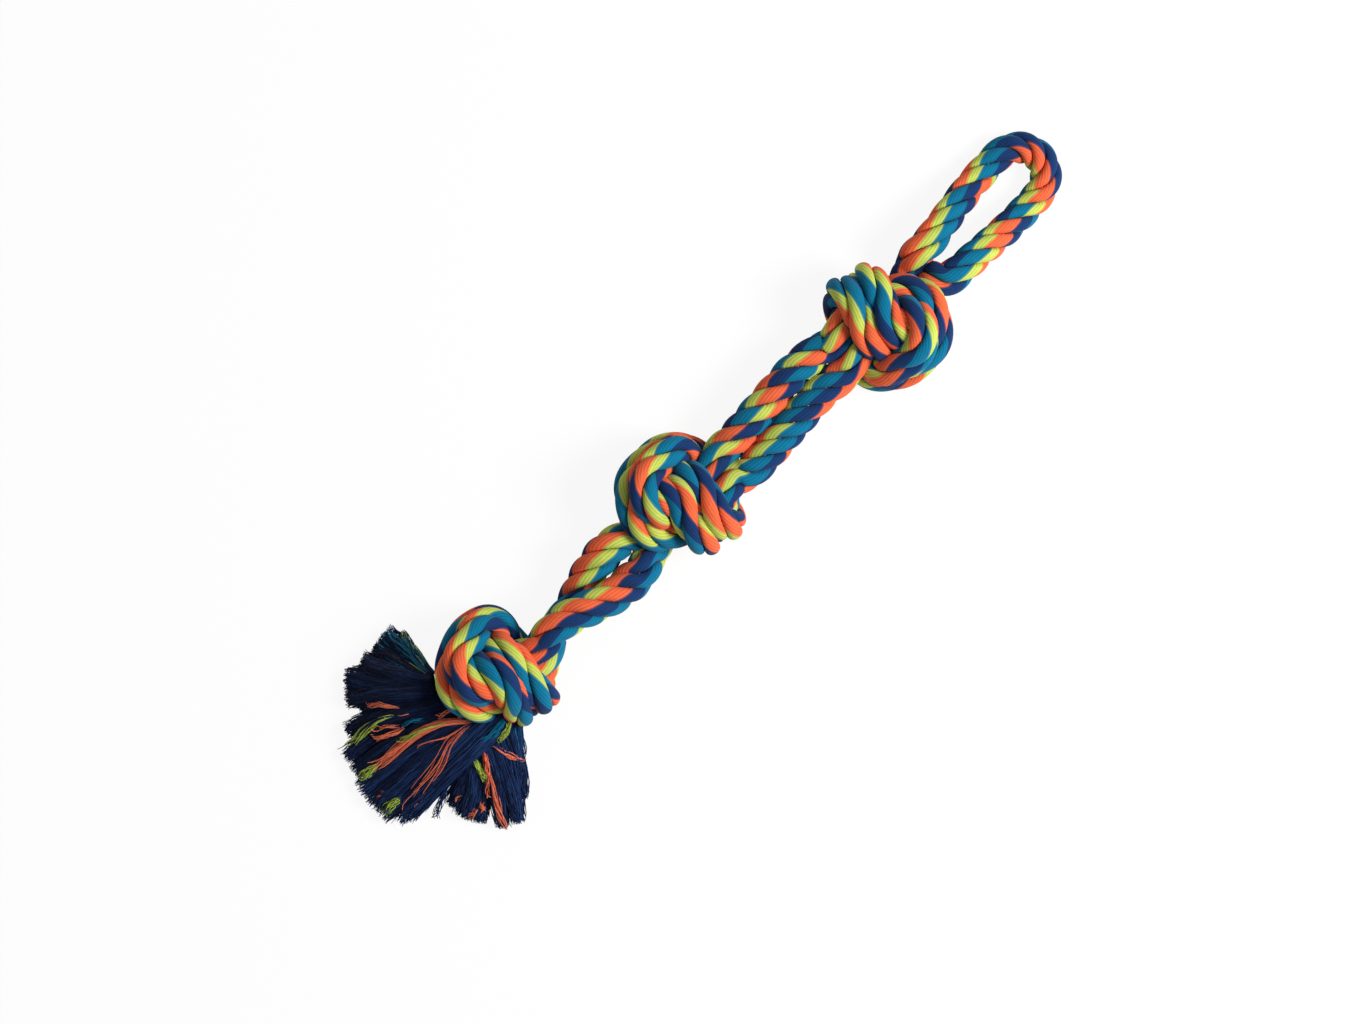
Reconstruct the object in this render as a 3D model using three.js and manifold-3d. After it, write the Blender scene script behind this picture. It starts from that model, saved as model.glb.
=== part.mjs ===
// Rope dog toy: one laid rope doubled over, tied in three doubled overhand knots,
// with a loop handle at the fold and a frayed tassel at the two ends.
// Millimetres, +Z up. X runs along the line of the knots towards the handle.
// The origin lies on the floor under the middle of the overall box.
import * as THREE from 'three';
import { mergeVertices } from 'three/addons/utils/BufferGeometryUtils.js';
import Module from 'manifold-3d';

const wasm = await Module();
wasm.setup();

// Rope
const ROPE_DIAMETER = 21.5;
const PRESSED_DIAMETER = 14.8;
const TOUCH_GAP = 0.5;
const ROPE_SIDES = 12;
const KNOT_SIDES = 10;
const KNOT_RING_STEP = 6.5;

// Places of the knots along and across the toy
const UPPER_KNOT_X = 146;
const UPPER_KNOT_Y = 26;
const MIDDLE_KNOT_X = -31;
const MIDDLE_KNOT_Y = 16;
const LOWER_KNOT_X = -190;
const LOWER_KNOT_Y = 7;

// Where the rope flexes, measured from the middle of a knot
const BEND_REACH = 51;
const SWING_REACH = 66;

// Side of the pair on which leg A lies at the two ends of each stretch, in degrees from +Y
const UPPER_SIDES = [180, 180];
const LOWER_SIDES = [-90, 0];
const STRETCH_STEPS = 8;

// The lower stretch leaves the middle knot a little aside, with its legs apart
const LOWER_ASIDE = 4;
const LOWER_MOUTH = 12.5;

// Loop handle: it leaves the upper knot a little aside, with its legs apart
const HANDLE_ASIDE = 6;
const HANDLE_MOUTH = 13;
const HANDLE_REACH = 103;
const HANDLE_WIDTH = 58;
const HANDLE_YAW = 8;
const HANDLE_SPREAD = 60;
const HANDLE_DROP = 72;
const HANDLE_STEPS = 10;

// Frayed ends: each of the two rope ends comes apart into four loosened strands. Radii of a
// strand, how it leaves the rope end, and where the tips lie on the floor, measured from the
// middle of the lower knot
const STRANDS_PER_END = 4;
const STRAND_ROOT_RADIUS = 3.5;
const STRAND_TIP_RADIUS = 6.5;
const STRAND_SWELL = 0.35;
const STRAND_LEAD = 16;
const STRAND_STACK = 10;
const STRAND_SIDES = 8;
const STRAND_RINGS = 12;
const STRAND_TIPS = [
  [-62, 62], [-80, 51], [-97, 26], [-105, 6],
  [-106, -17], [-98, -37], [-74, -61], [-52, -76],
];

// Flexing places: half ranges in degrees and running clearance
const BEND_RANGE = 40;
const SWING_RANGE = 28;
const TASSEL_RANGE = 45;
const RUNNING_GAP = 0.3;
const BARREL_SEGMENTS = 40;

// Depth of the flat where a rope rests on the floor
const REST_CUT = ROPE_DIAMETER / 10;

const CUTTER = 800;
const HALF = 0.5;
const ROPE_RADIUS = ROPE_DIAMETER * HALF;
const PRESSED_RADIUS = PRESSED_DIAMETER * HALF;
const LEG_OFFSET = (ROPE_DIAMETER + TOUCH_GAP) * HALF;
const UNIT = PRESSED_DIAMETER + TOUCH_GAP;

// Doubled overhand knot, in pressed rope diameters: the middle of the two legs, then the
// way from there to leg A. Entry, loop over the right arm and the bottom, rise at the back,
// wrap down the front, tuck under the loop, exit.
const KNOT_ROUTE = [
  [-3.4, 0, 0, 0, -1, 0],
  [-2.8, 0, 0, 0, -1, 0],
  [-1.9, 0, 0, 0, -1, 0],
  [-0.5, 0.05, 0, 0, -1, 0.2],
  [0.6, 0.25, 0.1, 0.2, -1, 0.2],
  [1.4, 0.25, 0.4, -0.4, -0.9, 0.3],
  [1.9, -0.15, 0.8, -0.8, -0.5, 0.4],
  [2, -0.8, 1, -1, -0.1, 0.3],
  [1.8, -1.5, 1.1, -0.9, 0.4, 0.3],
  [1.2, -2.1, 1.1, -0.5, 0.8, 0.3],
  [0.4, -2.4, 1, 0, 1, 0.4],
  [-0.5, -2.35, 0.8, 0.2, 0.9, 0.4],
  [-1.3, -1.95, 0.3, 0.5, 0.7, 0.5],
  [-1.7, -1.3, -0.5, 0.7, 0.4, 0.6],
  [-1.5, -0.5, -1.1, 0.9, 0, 0.4],
  [-1.1, 0.3, -1.2, 1, 0, 0.2],
  [-0.7, 1.1, -0.9, 1, 0, 0],
  [-0.45, 1.55, 0, 1, 0, 0],
  [-0.35, 1.2, 0.85, 1, 0, 0],
  [-0.35, 0.45, 1.15, 1, 0, 0],
  [-0.4, -0.4, 1.1, 1, 0, 0],
  [-0.35, -1.1, 0.7, 1, 0, 0],
  [-0.1, -1.55, 0.05, 0.9, 0.1, 0.4],
  [0.4, -1.5, -0.6, 0.7, 0.4, 0.6],
  [1.2, -1, -0.8, 0.3, 0.7, 0.6],
  [2.2, -0.4, -0.5, 0, 1, 0.2],
  [2.8, 0, 0, 0, 1, 0],
  [3.4, 0, 0, 0, 1, 0],
];

// How far the core of each knot lies turned about the vertical, in degrees
const UPPER_KNOT_YAW = -30;
const MIDDLE_KNOT_YAW = -20;
const LOWER_KNOT_YAW = -30;

// The lower knot also lies rolled over a little, and its two frayed ends leave it apart: place
// and way out of each, in pressed rope diameters
const LOWER_KNOT_ROLL = -20;
const FRAYED_ENDS = [
  [[2.45, 1.2, -0.3], [0.8, 0.6, 0]],
  [[2.3, -1.45, -0.2], [0.75, -0.66, 0]],
];

// Drawing the knot tight: counts and shares, in pressed rope diameters
const NODE_STEP = 0.3;
const NEIGHBOUR_LENGTH = 1.45;
const SEARCH_REACH = 1.9;
const PAIR_REACH = 1.15;
const GROW_STEPS = 150;
const TURN_STEP = 200;
const TIGHTEN_STEPS = 220;
const CLEAR_STEPS = 100;
const CLEAR_SHARE = 1.03;
const TENSION = 0.15;
const PAIR_PULL = 0.25;
const PUSH_SHARE = 0.6;
const ROUNDS = 4;
const REFRESH = 10;
const LEAD_NODES = 3;
const MOUTH_START = 2.3;
const MOUTH_LENGTH = 0.8;
const CORE_REACH = 1.6;
const LEAD_REACH = 2.9;
const CURVE_STEPS = 16;
const GAP_STEPS = 3;
const NEXT_LENGTH = 2;

const rad = THREE.MathUtils.degToRad;
const clamp = THREE.MathUtils.clamp;
const v3 = (x, y, z) => new THREE.Vector3(x, y, z);
const FORWARDS = v3(1, 0, 0);
const SIDEWAYS = v3(0, 1, 0);
const UPWARDS = v3(0, 0, 1);

// Solids

function solidOf(geometry) {
  const bare = geometry.clone();
  bare.deleteAttribute('normal');
  bare.deleteAttribute('uv');
  const merged = mergeVertices(bare);
  const mesh = new wasm.Mesh({
    numProp: 3,
    vertProperties: new Float32Array(merged.attributes.position.array),
    triVerts: new Uint32Array(merged.index.array),
  });
  return new wasm.Manifold(mesh);
}

function geometryOf(solid) {
  const mesh = solid.getMesh();
  const geometry = new THREE.BufferGeometry();
  geometry.setAttribute('position', new THREE.BufferAttribute(new Float32Array(mesh.vertProperties), 3));
  geometry.setIndex(new THREE.BufferAttribute(new Uint32Array(mesh.triVerts), 1));
  geometry.computeVertexNormals();
  return geometry;
}

// A closed tube through points, with a radius at each, kept from turning about its own line
function tube(points, radii, sides) {
  const count = points.length;
  const place = [];
  const faces = [];
  const ahead = points.map((p, i) => points[Math.min(i + 1, count - 1)].clone()
    .sub(points[Math.max(i - 1, 0)]).normalize());
  let normal = v3(0, 0, 1);
  for (let i = 0; i < count; i++) {
    normal.addScaledVector(ahead[i], -normal.dot(ahead[i])).normalize();
    const across = ahead[i].clone().cross(normal);
    for (let k = 0; k < sides; k++) {
      const turn = 2 * Math.PI * (k + HALF) / sides;
      const at = points[i].clone()
        .addScaledVector(normal, radii[i] * Math.cos(turn))
        .addScaledVector(across, radii[i] * Math.sin(turn));
      place.push(at.x, at.y, at.z);
    }
  }
  for (let i = 0; i + 1 < count; i++) {
    for (let k = 0; k < sides; k++) {
      const a = i * sides + k;
      const b = i * sides + (k + 1) % sides;
      faces.push(a, b, b + sides, a, b + sides, a + sides);
    }
  }
  const last = (count - 1) * sides;
  for (let k = 1; k + 1 < sides; k++) {
    faces.push(0, k + 1, k, last, last + k, last + k + 1);
  }
  const geometry = new THREE.BufferGeometry();
  geometry.setAttribute('position', new THREE.BufferAttribute(new Float32Array(place), 3));
  geometry.setIndex(faces);
  return solidOf(geometry);
}

function boxSolid(size, place) {
  return solidOf(new THREE.BoxGeometry(size.x, size.y, size.z).applyMatrix4(place));
}

// A flexing place: a barrel about an axis, with the way that the moving side leaves it
function hinge(centre, axis, ahead, radius, range, width) {
  const up = ahead.clone().cross(axis);
  const frame = new THREE.Matrix4().makeBasis(ahead, axis, up).setPosition(centre);
  const socket = radius / Math.cos(rad(range) * HALF) + RUNNING_GAP;
  return { centre, axis, ahead, frame, radius, socket, width };
}

function barrel(place, radius, width) {
  const round = new THREE.CylinderGeometry(radius, radius, width, BARREL_SEGMENTS);
  return solidOf(round.applyMatrix4(place.frame));
}

// The moving side ends in the barrel
function roundEnd(solid, place) {
  const shift = new THREE.Matrix4().makeTranslation(-CUTTER * HALF, 0, 0);
  const behind = boxSolid(v3(CUTTER, CUTTER, CUTTER), place.frame.clone().multiply(shift));
  return solid.subtract(behind.subtract(barrel(place, place.radius, CUTTER)));
}

// The carrying side ends in the hollow that the barrel sits in
function hollowEnd(solid, place) {
  const reach = place.socket * 2;
  const shift = new THREE.Matrix4().makeTranslation(reach, 0, 0);
  const size = v3(reach * 2, place.width, place.width);
  const front = boxSolid(size, place.frame.clone().multiply(shift));
  return solid.subtract(front.add(barrel(place, place.socket, place.width)));
}

function aboveFloor(solid) {
  const shift = new THREE.Matrix4().makeTranslation(0, 0, -CUTTER * HALF);
  return solid.subtract(boxSolid(v3(CUTTER, CUTTER, CUTTER), shift));
}

// Knots

function spread(points, count) {
  const run = [0];
  for (let i = 1; i < points.length; i++) {
    run.push(run[i - 1] + points[i].distanceTo(points[i - 1]));
  }
  const total = run[run.length - 1];
  const out = [];
  let k = 0;
  for (let i = 0; i < count; i++) {
    const at = total * i / (count - 1);
    while (k < points.length - 2 && run[k + 1] < at) k++;
    out.push(points[k].clone().lerp(points[k + 1], (at - run[k]) / (run[k + 1] - run[k])));
  }
  return out;
}

function lengthOf(points) {
  return points.reduce((sum, p, i) => sum + (i ? p.distanceTo(points[i - 1]) : 0), 0);
}

function catmull(points) {
  const first = points[0].clone().multiplyScalar(2).sub(points[1]);
  const last = points[points.length - 1].clone().multiplyScalar(2).sub(points[points.length - 2]);
  const all = [first, ...points, last];
  const weight = (a, b, c, d, t) => HALF * (2 * b + (c - a) * t
    + (2 * a - 5 * b + 4 * c - d) * t * t + (3 * b - a - 3 * c + d) * t * t * t);
  const out = [];
  for (let i = 1; i + 2 < all.length; i++) {
    for (let k = 0; k < CURVE_STEPS; k++) {
      const t = k / CURVE_STEPS;
      const [a, b, c, d] = all.slice(i - 1, i + 3);
      const [x, y, z] = ['x', 'y', 'z'].map((axis) => weight(a[axis], b[axis], c[axis], d[axis], t));
      out.push(v3(x, y, z));
    }
  }
  out.push(points[points.length - 1].clone());
  return out;
}

// Rope radius in the knot: pressed inside, round again at the mouths, but not at frayed ends
function ropeRadius(x, frayed) {
  const full = ROPE_RADIUS / PRESSED_RADIUS * HALF;
  const out = frayed ? -x : Math.abs(x);
  return HALF + (full - HALF) * clamp((out - MOUTH_START) / MOUTH_LENGTH, 0, 1);
}

// Turns the core of a knot about the vertical. Its mouths stay where they are.
function turnCore(legs, yaw) {
  for (const p of legs.flat()) {
    const share = 1 - THREE.MathUtils.smoothstep(Math.hypot(p.x, p.y), CORE_REACH, LEAD_REACH);
    p.applyAxisAngle(UPWARDS, rad(yaw) * share);
  }
}

// Draws the two legs together while the rope swells to its full size, turns the core, then
// clears them
function tighten(start, ends, yaw, frayed) {
  let legs = start;
  let nodes = [];
  let near = [];
  let count = 0;
  const skip = Math.ceil(NEIGHBOUR_LENGTH / NODE_STEP);
  const steps = TIGHTEN_STEPS + CLEAR_STEPS;
  for (let step = 0; step < steps; step++) {
    const grown = Math.min(1, HALF + HALF * step / GROW_STEPS);
    const clearing = step >= TIGHTEN_STEPS;
    const share = grown * (clearing ? CLEAR_SHARE : 1);
    if (step === TURN_STEP) turnCore(legs, yaw);
    if (step % REFRESH === 0) {
      count = Math.round(Math.max(lengthOf(legs[0]), lengthOf(legs[1])) / NODE_STEP) + 1;
      legs = legs.map((leg, i) => {
        const even = spread(leg, count);
        for (let k = 0; k < LEAD_NODES; k++) {
          even[k] = ends[i][0].at.clone().addScaledVector(ends[i][0].out, -k * NODE_STEP);
          const back = count - 1 - k;
          even[back] = ends[i][1].at.clone().addScaledVector(ends[i][1].out, -k * NODE_STEP);
        }
        return even;
      });
      nodes = [...legs[0], ...legs[1]];
      near = [];
      for (let i = 0; i < nodes.length; i++) {
        for (let j = i + 1; j < nodes.length; j++) {
          const sameLeg = (i < count) === (j < count);
          if (sameLeg && j - i <= skip) continue;
          if (nodes[i].distanceTo(nodes[j]) < SEARCH_REACH) near.push([i, j]);
        }
      }
    }
    const free = (i) => i % count >= LEAD_NODES && i % count < count - LEAD_NODES;
    if (!clearing) {
      for (const leg of legs) {
        const drawn = leg.map((p, i) => {
          if (!free(i)) return p.clone();
          const middle = leg[i - 1].clone().add(leg[i + 1]).multiplyScalar(HALF);
          return p.clone().lerp(middle, TENSION);
        });
        leg.forEach((p, i) => p.copy(drawn[i]));
      }
    }
    for (let round = 0; round < ROUNDS; round++) {
      for (let i = LEAD_NODES; i < count - LEAD_NODES; i++) {
        const apart = legs[1][i].clone().sub(legs[0][i]);
        const gap = apart.length();
        const pull = Math.max(gap - PAIR_REACH, 0) * PAIR_PULL / gap;
        legs[0][i].addScaledVector(apart, pull);
        legs[1][i].addScaledVector(apart, -pull);
      }
      const sizes = nodes.map((p) => share * ropeRadius(p.x, frayed));
      const move = nodes.map(() => v3(0, 0, 0));
      const hits = nodes.map(() => 0);
      for (const [i, j] of near) {
        const apart = nodes[i].clone().sub(nodes[j]);
        const gap = apart.length();
        const need = sizes[i] + sizes[j];
        if (gap >= need) continue;
        move[i].addScaledVector(apart, (need - gap) / gap);
        move[j].addScaledVector(apart, -(need - gap) / gap);
        hits[i] += 1;
        hits[j] += 1;
      }
      nodes.forEach((p, i) => {
        if (free(i) && hits[i]) p.addScaledVector(move[i], PUSH_SHARE / hits[i]);
      });
    }
  }
  return legs;
}

// Least gap between rope surfaces in a knot, measured on points
function leastGap(legs, frayed) {
  let least = Infinity;
  const fine = legs.map((leg) => spread(leg, Math.round(lengthOf(leg) / NODE_STEP) * GAP_STEPS));
  const skip = Math.ceil(NEXT_LENGTH * GAP_STEPS / NODE_STEP);
  const size = (p) => ropeRadius(p.x, frayed) * PRESSED_DIAMETER / UNIT;
  fine.forEach((one, a) => fine.forEach((two, b) => {
    if (b < a) return;
    one.forEach((p, i) => two.forEach((q, j) => {
      if (a === b && j - i < skip) return;
      least = Math.min(least, p.distanceTo(q) - size(p) - size(q));
    }));
  }));
  return least * UNIT;
}

// The two legs side by side at a mouth of the knot, the first one on the given side
function mouth(x, side, offset, aside) {
  const out = v3(Math.sign(x), 0, 0);
  const middle = v3(x, aside / UNIT, 0);
  return [1, -1].map((way) => ({ at: middle.clone().addScaledVector(side, way * offset / UNIT), out }));
}

// One knot in its place. A turned knot is the same knot looked at from its other end.
function knot(name, x, y, { turned, roll, yaw, entry, exit, frayed }) {
  const tilt = (p) => p.applyAxisAngle(FORWARDS, rad(roll));
  const middle = KNOT_ROUTE.map((row) => tilt(v3(row[0], row[1], row[2])));
  const way = KNOT_ROUTE.map((row) => tilt(v3(row[3], row[4], row[5]).normalize()));
  const leg = (side) => catmull(middle.map((p, i) => p.clone().addScaledVector(way[i], side)));
  const ends = entry.map((inner, i) => [inner, exit[i]]);
  let legs = tighten([leg(HALF), leg(-HALF)], ends, yaw, frayed);
  console.log(name, 'least gap of the rope to itself', leastGap(legs, frayed).toFixed(2), 'mm');
  legs = legs.map((one) => one.map((p) => ({
    at: p.clone().multiplyScalar(UNIT),
    size: ropeRadius(p.x, frayed) * PRESSED_DIAMETER,
  })));
  if (turned) {
    legs.reverse();
    const half = rad(180);
    legs.forEach((one) => one.reverse().forEach((node) => node.at.applyAxisAngle(UPWARDS, half)));
  }
  const low = Math.min(...legs.flat().map((node) => node.at.z - node.size));
  const centre = v3(x, y, -low - REST_CUT);
  legs.flat().forEach((node) => node.at.add(centre));
  return { legs, centre };
}

// The place a length ahead of a point, on the line from the point before it
function onward(before, point, length) {
  return point.clone().addScaledVector(point.clone().sub(before).normalize(), length);
}

// A leg's tube, with a straight lead of its own at each end
function knotTube(leg, leadIn, leadOut) {
  const points = leg.map((node) => node.at);
  const rings = Math.round(lengthOf(points) / KNOT_RING_STEP);
  const even = spread(points, rings + 1);
  const last = leg.length - 1;
  const radii = even.map((p, i) => leg[Math.round(last * i / rings)].size);
  if (leadIn) {
    even.unshift(onward(points[1], points[0], leadIn));
    radii.unshift(radii[0]);
  }
  if (leadOut) {
    even.push(onward(points[last - 1], points[last], leadOut));
    radii.push(radii[radii.length - 1]);
  }
  return tube(even, radii, KNOT_SIDES);
}

const first = KNOT_ROUTE[0][0];
const flat = SIDEWAYS.clone().negate();
const usual = {
  turned: false,
  roll: 0,
  yaw: UPPER_KNOT_YAW,
  entry: mouth(first, flat, LEG_OFFSET, 0),
  exit: mouth(-first, SIDEWAYS, LEG_OFFSET, 0),
  frayed: false,
};
const upperKnot = knot('upper_knot', UPPER_KNOT_X, UPPER_KNOT_Y, {
  ...usual,
  exit: mouth(-first, SIDEWAYS, HANDLE_MOUTH, HANDLE_ASIDE),
});
const middleKnot = knot('middle_knot', MIDDLE_KNOT_X, MIDDLE_KNOT_Y, {
  ...usual,
  turned: true,
  yaw: MIDDLE_KNOT_YAW,
  exit: mouth(-first, SIDEWAYS, LOWER_MOUTH, LOWER_ASIDE),
});
const lowerSide = SIDEWAYS.clone().applyAxisAngle(FORWARDS, -rad(LOWER_SIDES[0]));
const lowerKnot = knot('lower_knot', LOWER_KNOT_X, LOWER_KNOT_Y, {
  turned: true,
  roll: LOWER_KNOT_ROLL,
  yaw: LOWER_KNOT_YAW,
  entry: mouth(first, lowerSide, LEG_OFFSET, 0),
  exit: FRAYED_ENDS.map(([at, out]) => ({ at: v3(...at), out: v3(...out).normalize() })),
  frayed: true,
});

// Flexing places, from the middle knot outwards

const pairRadius = LEG_OFFSET + ROPE_RADIUS + RUNNING_GAP;
const pairWidth = 2 * pairRadius + ROPE_DIAMETER * HALF;
const backwards = FORWARDS.clone().negate();
const yaw = rad(HANDLE_YAW);
const handleAhead = FORWARDS.clone().applyAxisAngle(UPWARDS, yaw);
const handleAcross = SIDEWAYS.clone().applyAxisAngle(UPWARDS, yaw);

const upperBend = hinge(middleKnot.centre.clone().addScaledVector(FORWARDS, BEND_REACH),
  SIDEWAYS, FORWARDS, ROPE_RADIUS, BEND_RANGE, pairWidth);
const upperSwing = hinge(upperKnot.centre.clone().addScaledVector(FORWARDS, -SWING_REACH),
  UPWARDS, FORWARDS, pairRadius, SWING_RANGE, pairWidth);
const handleFlop = hinge(upperKnot.centre.clone().add(v3(BEND_REACH, HANDLE_ASIDE, 0)),
  handleAcross, handleAhead, ROPE_RADIUS, BEND_RANGE, pairWidth);
const lowerBend = hinge(middleKnot.centre.clone().add(v3(-BEND_REACH, -LOWER_ASIDE, 0)),
  SIDEWAYS, backwards, ROPE_RADIUS, BEND_RANGE, pairWidth);
const lowerSwing = hinge(lowerKnot.centre.clone().addScaledVector(FORWARDS, BEND_REACH),
  UPWARDS, backwards, ROPE_RADIUS, BEND_RANGE, pairWidth);
const tasselLift = lowerKnot.legs.map((leg) => {
  const ahead = leg[0].at.clone().sub(leg[1].at).normalize();
  const across = ahead.clone().cross(UPWARDS);
  return hinge(leg[0].at.clone(), across, ahead, PRESSED_RADIUS, TASSEL_RANGE, ROPE_DIAMETER);
});

// Stretches of the two legs between the knots: leg A's side turns about the pair from one
// mouth to the next
const lead = ROPE_RADIUS + TOUCH_GAP;
function stretch(from, to, sides, mouths, leadIn, leadOut) {
  return [0, Math.PI].map((opposite) => {
    const begin = from.x - leadIn;
    const finish = to.x + leadOut;
    const points = [];
    for (let i = 0; i <= STRETCH_STEPS; i++) {
      const x = begin + (finish - begin) * i / STRETCH_STEPS;
      const share = THREE.MathUtils.smoothstep(x, from.x, to.x);
      const turn = rad(sides[0] + (sides[1] - sides[0]) * share) + opposite;
      const middle = from.clone().lerp(to, clamp((x - from.x) / (to.x - from.x), 0, 1));
      const offset = THREE.MathUtils.lerp(mouths[0], mouths[1], share);
      const aside = v3(0, offset * Math.cos(turn), offset * Math.sin(turn));
      points.push(aside.add(middle).setX(x));
    }
    return tube(points, points.map(() => ROPE_RADIUS), ROPE_SIDES);
  });
}
const upperMouths = [LEG_OFFSET, LEG_OFFSET];
const lowerMouths = [LEG_OFFSET, LOWER_MOUTH];
const upperRope = stretch(upperBend.centre, upperSwing.centre, UPPER_SIDES, upperMouths, lead, 0);
const lowerRope = stretch(lowerSwing.centre, lowerBend.centre, LOWER_SIDES, lowerMouths, 0, lead);

// The loop: the two legs part from the knot, run along the floor and meet in a round end
function handlePoints() {
  const bend = HANDLE_WIDTH * HALF - ROPE_RADIUS;
  const straight = HANDLE_REACH - ROPE_RADIUS - bend;
  const floor = ROPE_RADIUS - REST_CUT;
  const side = [];
  for (let i = 0; i <= HANDLE_STEPS; i++) {
    const along = -lead + (straight + lead) * i / HANDLE_STEPS;
    const open = THREE.MathUtils.smoothstep(along, -lead, HANDLE_SPREAD);
    side.push([along, THREE.MathUtils.lerp(HANDLE_MOUTH, bend, open)]);
  }
  const round = [];
  for (let i = 1; i < HANDLE_STEPS; i++) {
    const turn = Math.PI * (HALF - i / HANDLE_STEPS);
    round.push([straight + bend * Math.cos(turn), bend * Math.sin(turn)]);
  }
  const back = side.map(([along, across]) => [along, -across]).reverse();
  return [...side, ...round, ...back].map(([along, across]) => {
    const fall = THREE.MathUtils.smoothstep(along, 0, HANDLE_DROP);
    const at = handleFlop.centre.clone()
      .addScaledVector(handleAhead, along)
      .addScaledVector(handleAcross, across);
    at.z = THREE.MathUtils.lerp(handleFlop.centre.z, floor, fall);
    return at;
  });
}
const handle = handlePoints();

// A frayed strand: one of four in a rope end, two over two, that swells as it falls to the floor
function strand(index) {
  const end = Math.floor(index / STRANDS_PER_END);
  const inEnd = index % STRANDS_PER_END;
  const place = tasselLift[end];
  const side = inEnd < STRANDS_PER_END * HALF ? HALF : -HALF;
  const level = inEnd % 2 ? HALF : -HALF;
  const rest = STRAND_TIP_RADIUS - REST_CUT;
  const root = place.centre.clone()
    .addScaledVector(place.axis, side * PRESSED_RADIUS)
    .addScaledVector(UPWARDS, level * PRESSED_RADIUS);
  const [along, across] = STRAND_TIPS[index];
  const tip = v3(LOWER_KNOT_X + along, LOWER_KNOT_Y + across, rest);
  const begin = root.clone().addScaledVector(place.ahead, -PRESSED_RADIUS - TOUCH_GAP);
  const knee = root.clone().addScaledVector(place.ahead, STRAND_LEAD);
  const low = knee.clone().lerp(tip, HALF).setZ(rest + Math.max(level, 0) * STRAND_STACK / HALF);
  const curve = new THREE.CubicBezierCurve3(root, knee, low, tip);
  const points = [begin, ...curve.getSpacedPoints(STRAND_RINGS)];
  const radii = points.map((p, i) => {
    const swell = THREE.MathUtils.smoothstep((i - 1) / STRAND_RINGS, STRAND_SWELL, 1);
    return THREE.MathUtils.lerp(STRAND_ROOT_RADIUS, STRAND_TIP_RADIUS, swell);
  });
  return aboveFloor(roundEnd(tube(points, radii, STRAND_SIDES), place));
}

// The toy

const NAVY = 0x1f3a73;
const TEAL = 0x0a6f98;
const LIME = 0xbed750;
const CORAL = 0xf0693c;
const COTTON = { roughness: 0.95, metalness: 0 };

const toy = new THREE.Group();
function add(name, solid, colour) {
  const cotton = new THREE.MeshStandardMaterial({ color: colour, ...COTTON });
  const mesh = new THREE.Mesh(geometryOf(solid), cotton);
  mesh.name = name;
  toy.add(mesh);
}

const LEGS = [['a', TEAL], ['b', CORAL]];
LEGS.forEach(([letter, colour], i) => {
  const upper = roundEnd(knotTube(upperKnot.legs[i], SWING_REACH * HALF, 0), upperSwing);
  add(`upper_knot_leg_${letter}`, aboveFloor(hollowEnd(upper, handleFlop)), colour);
  add(`upper_rope_leg_${letter}`, hollowEnd(roundEnd(upperRope[i], upperBend), upperSwing), colour);
  const middle = hollowEnd(knotTube(middleKnot.legs[i], 0, 0), upperBend);
  add(`middle_knot_leg_${letter}`, aboveFloor(hollowEnd(middle, lowerBend)), colour);
  add(`lower_rope_leg_${letter}`, hollowEnd(roundEnd(lowerRope[i], lowerBend), lowerSwing), colour);
  const lower = roundEnd(knotTube(lowerKnot.legs[i], 0, lead), lowerSwing);
  add(`lower_knot_leg_${letter}`, aboveFloor(hollowEnd(lower, tasselLift[i])), colour);
});
const loop = tube(handle, handle.map(() => ROPE_RADIUS), ROPE_SIDES);
add('handle_loop', aboveFloor(roundEnd(loop, handleFlop)), LIME);
STRAND_TIPS.forEach((tip, i) => add(`tassel_strand_${i + 1}`, strand(i), NAVY));

const [liftA, liftB] = tasselLift;
const places = { upperBend, upperSwing, handleFlop, lowerBend, lowerSwing, liftA, liftB };
for (const [name, place] of Object.entries(places)) {
  const words = [place.centre, place.axis].map((v) => v.toArray().map((n) => n.toFixed(4)).join(' '));
  console.log(name, 'at', words[0], 'axis', words[1]);
}

export default toy;
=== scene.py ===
import math
import bpy
import numpy as np
from mathutils import Matrix, Vector


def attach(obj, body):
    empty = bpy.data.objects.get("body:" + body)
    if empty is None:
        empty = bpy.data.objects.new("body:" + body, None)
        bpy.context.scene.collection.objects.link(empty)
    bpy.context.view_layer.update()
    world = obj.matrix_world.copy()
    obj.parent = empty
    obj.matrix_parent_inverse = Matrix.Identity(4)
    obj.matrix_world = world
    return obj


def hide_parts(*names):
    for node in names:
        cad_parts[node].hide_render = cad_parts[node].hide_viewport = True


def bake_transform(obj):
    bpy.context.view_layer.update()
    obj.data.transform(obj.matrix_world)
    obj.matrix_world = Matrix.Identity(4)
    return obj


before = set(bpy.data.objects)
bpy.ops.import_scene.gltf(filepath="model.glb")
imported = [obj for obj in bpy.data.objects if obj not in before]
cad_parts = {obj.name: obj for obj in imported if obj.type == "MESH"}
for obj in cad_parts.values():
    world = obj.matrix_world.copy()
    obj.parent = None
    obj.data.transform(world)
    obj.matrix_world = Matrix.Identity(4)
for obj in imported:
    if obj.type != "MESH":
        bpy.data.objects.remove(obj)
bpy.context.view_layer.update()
scene = bpy.context.scene

# Camera: straight above, turned so that the toy lies across the frame
VIEW_CENTRE = (-0.0326, 0.0125)
VIEW_PLANE = 0.027
FRAME_WIDTH = 0.867
LENS = 100.0
SENSOR = 36.0
IMAGE_RIGHT = Vector((0.772, -0.636, 0.0)).normalized()
IMAGE_UP = Vector((0.636, 0.772, 0.0)).normalized()

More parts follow.
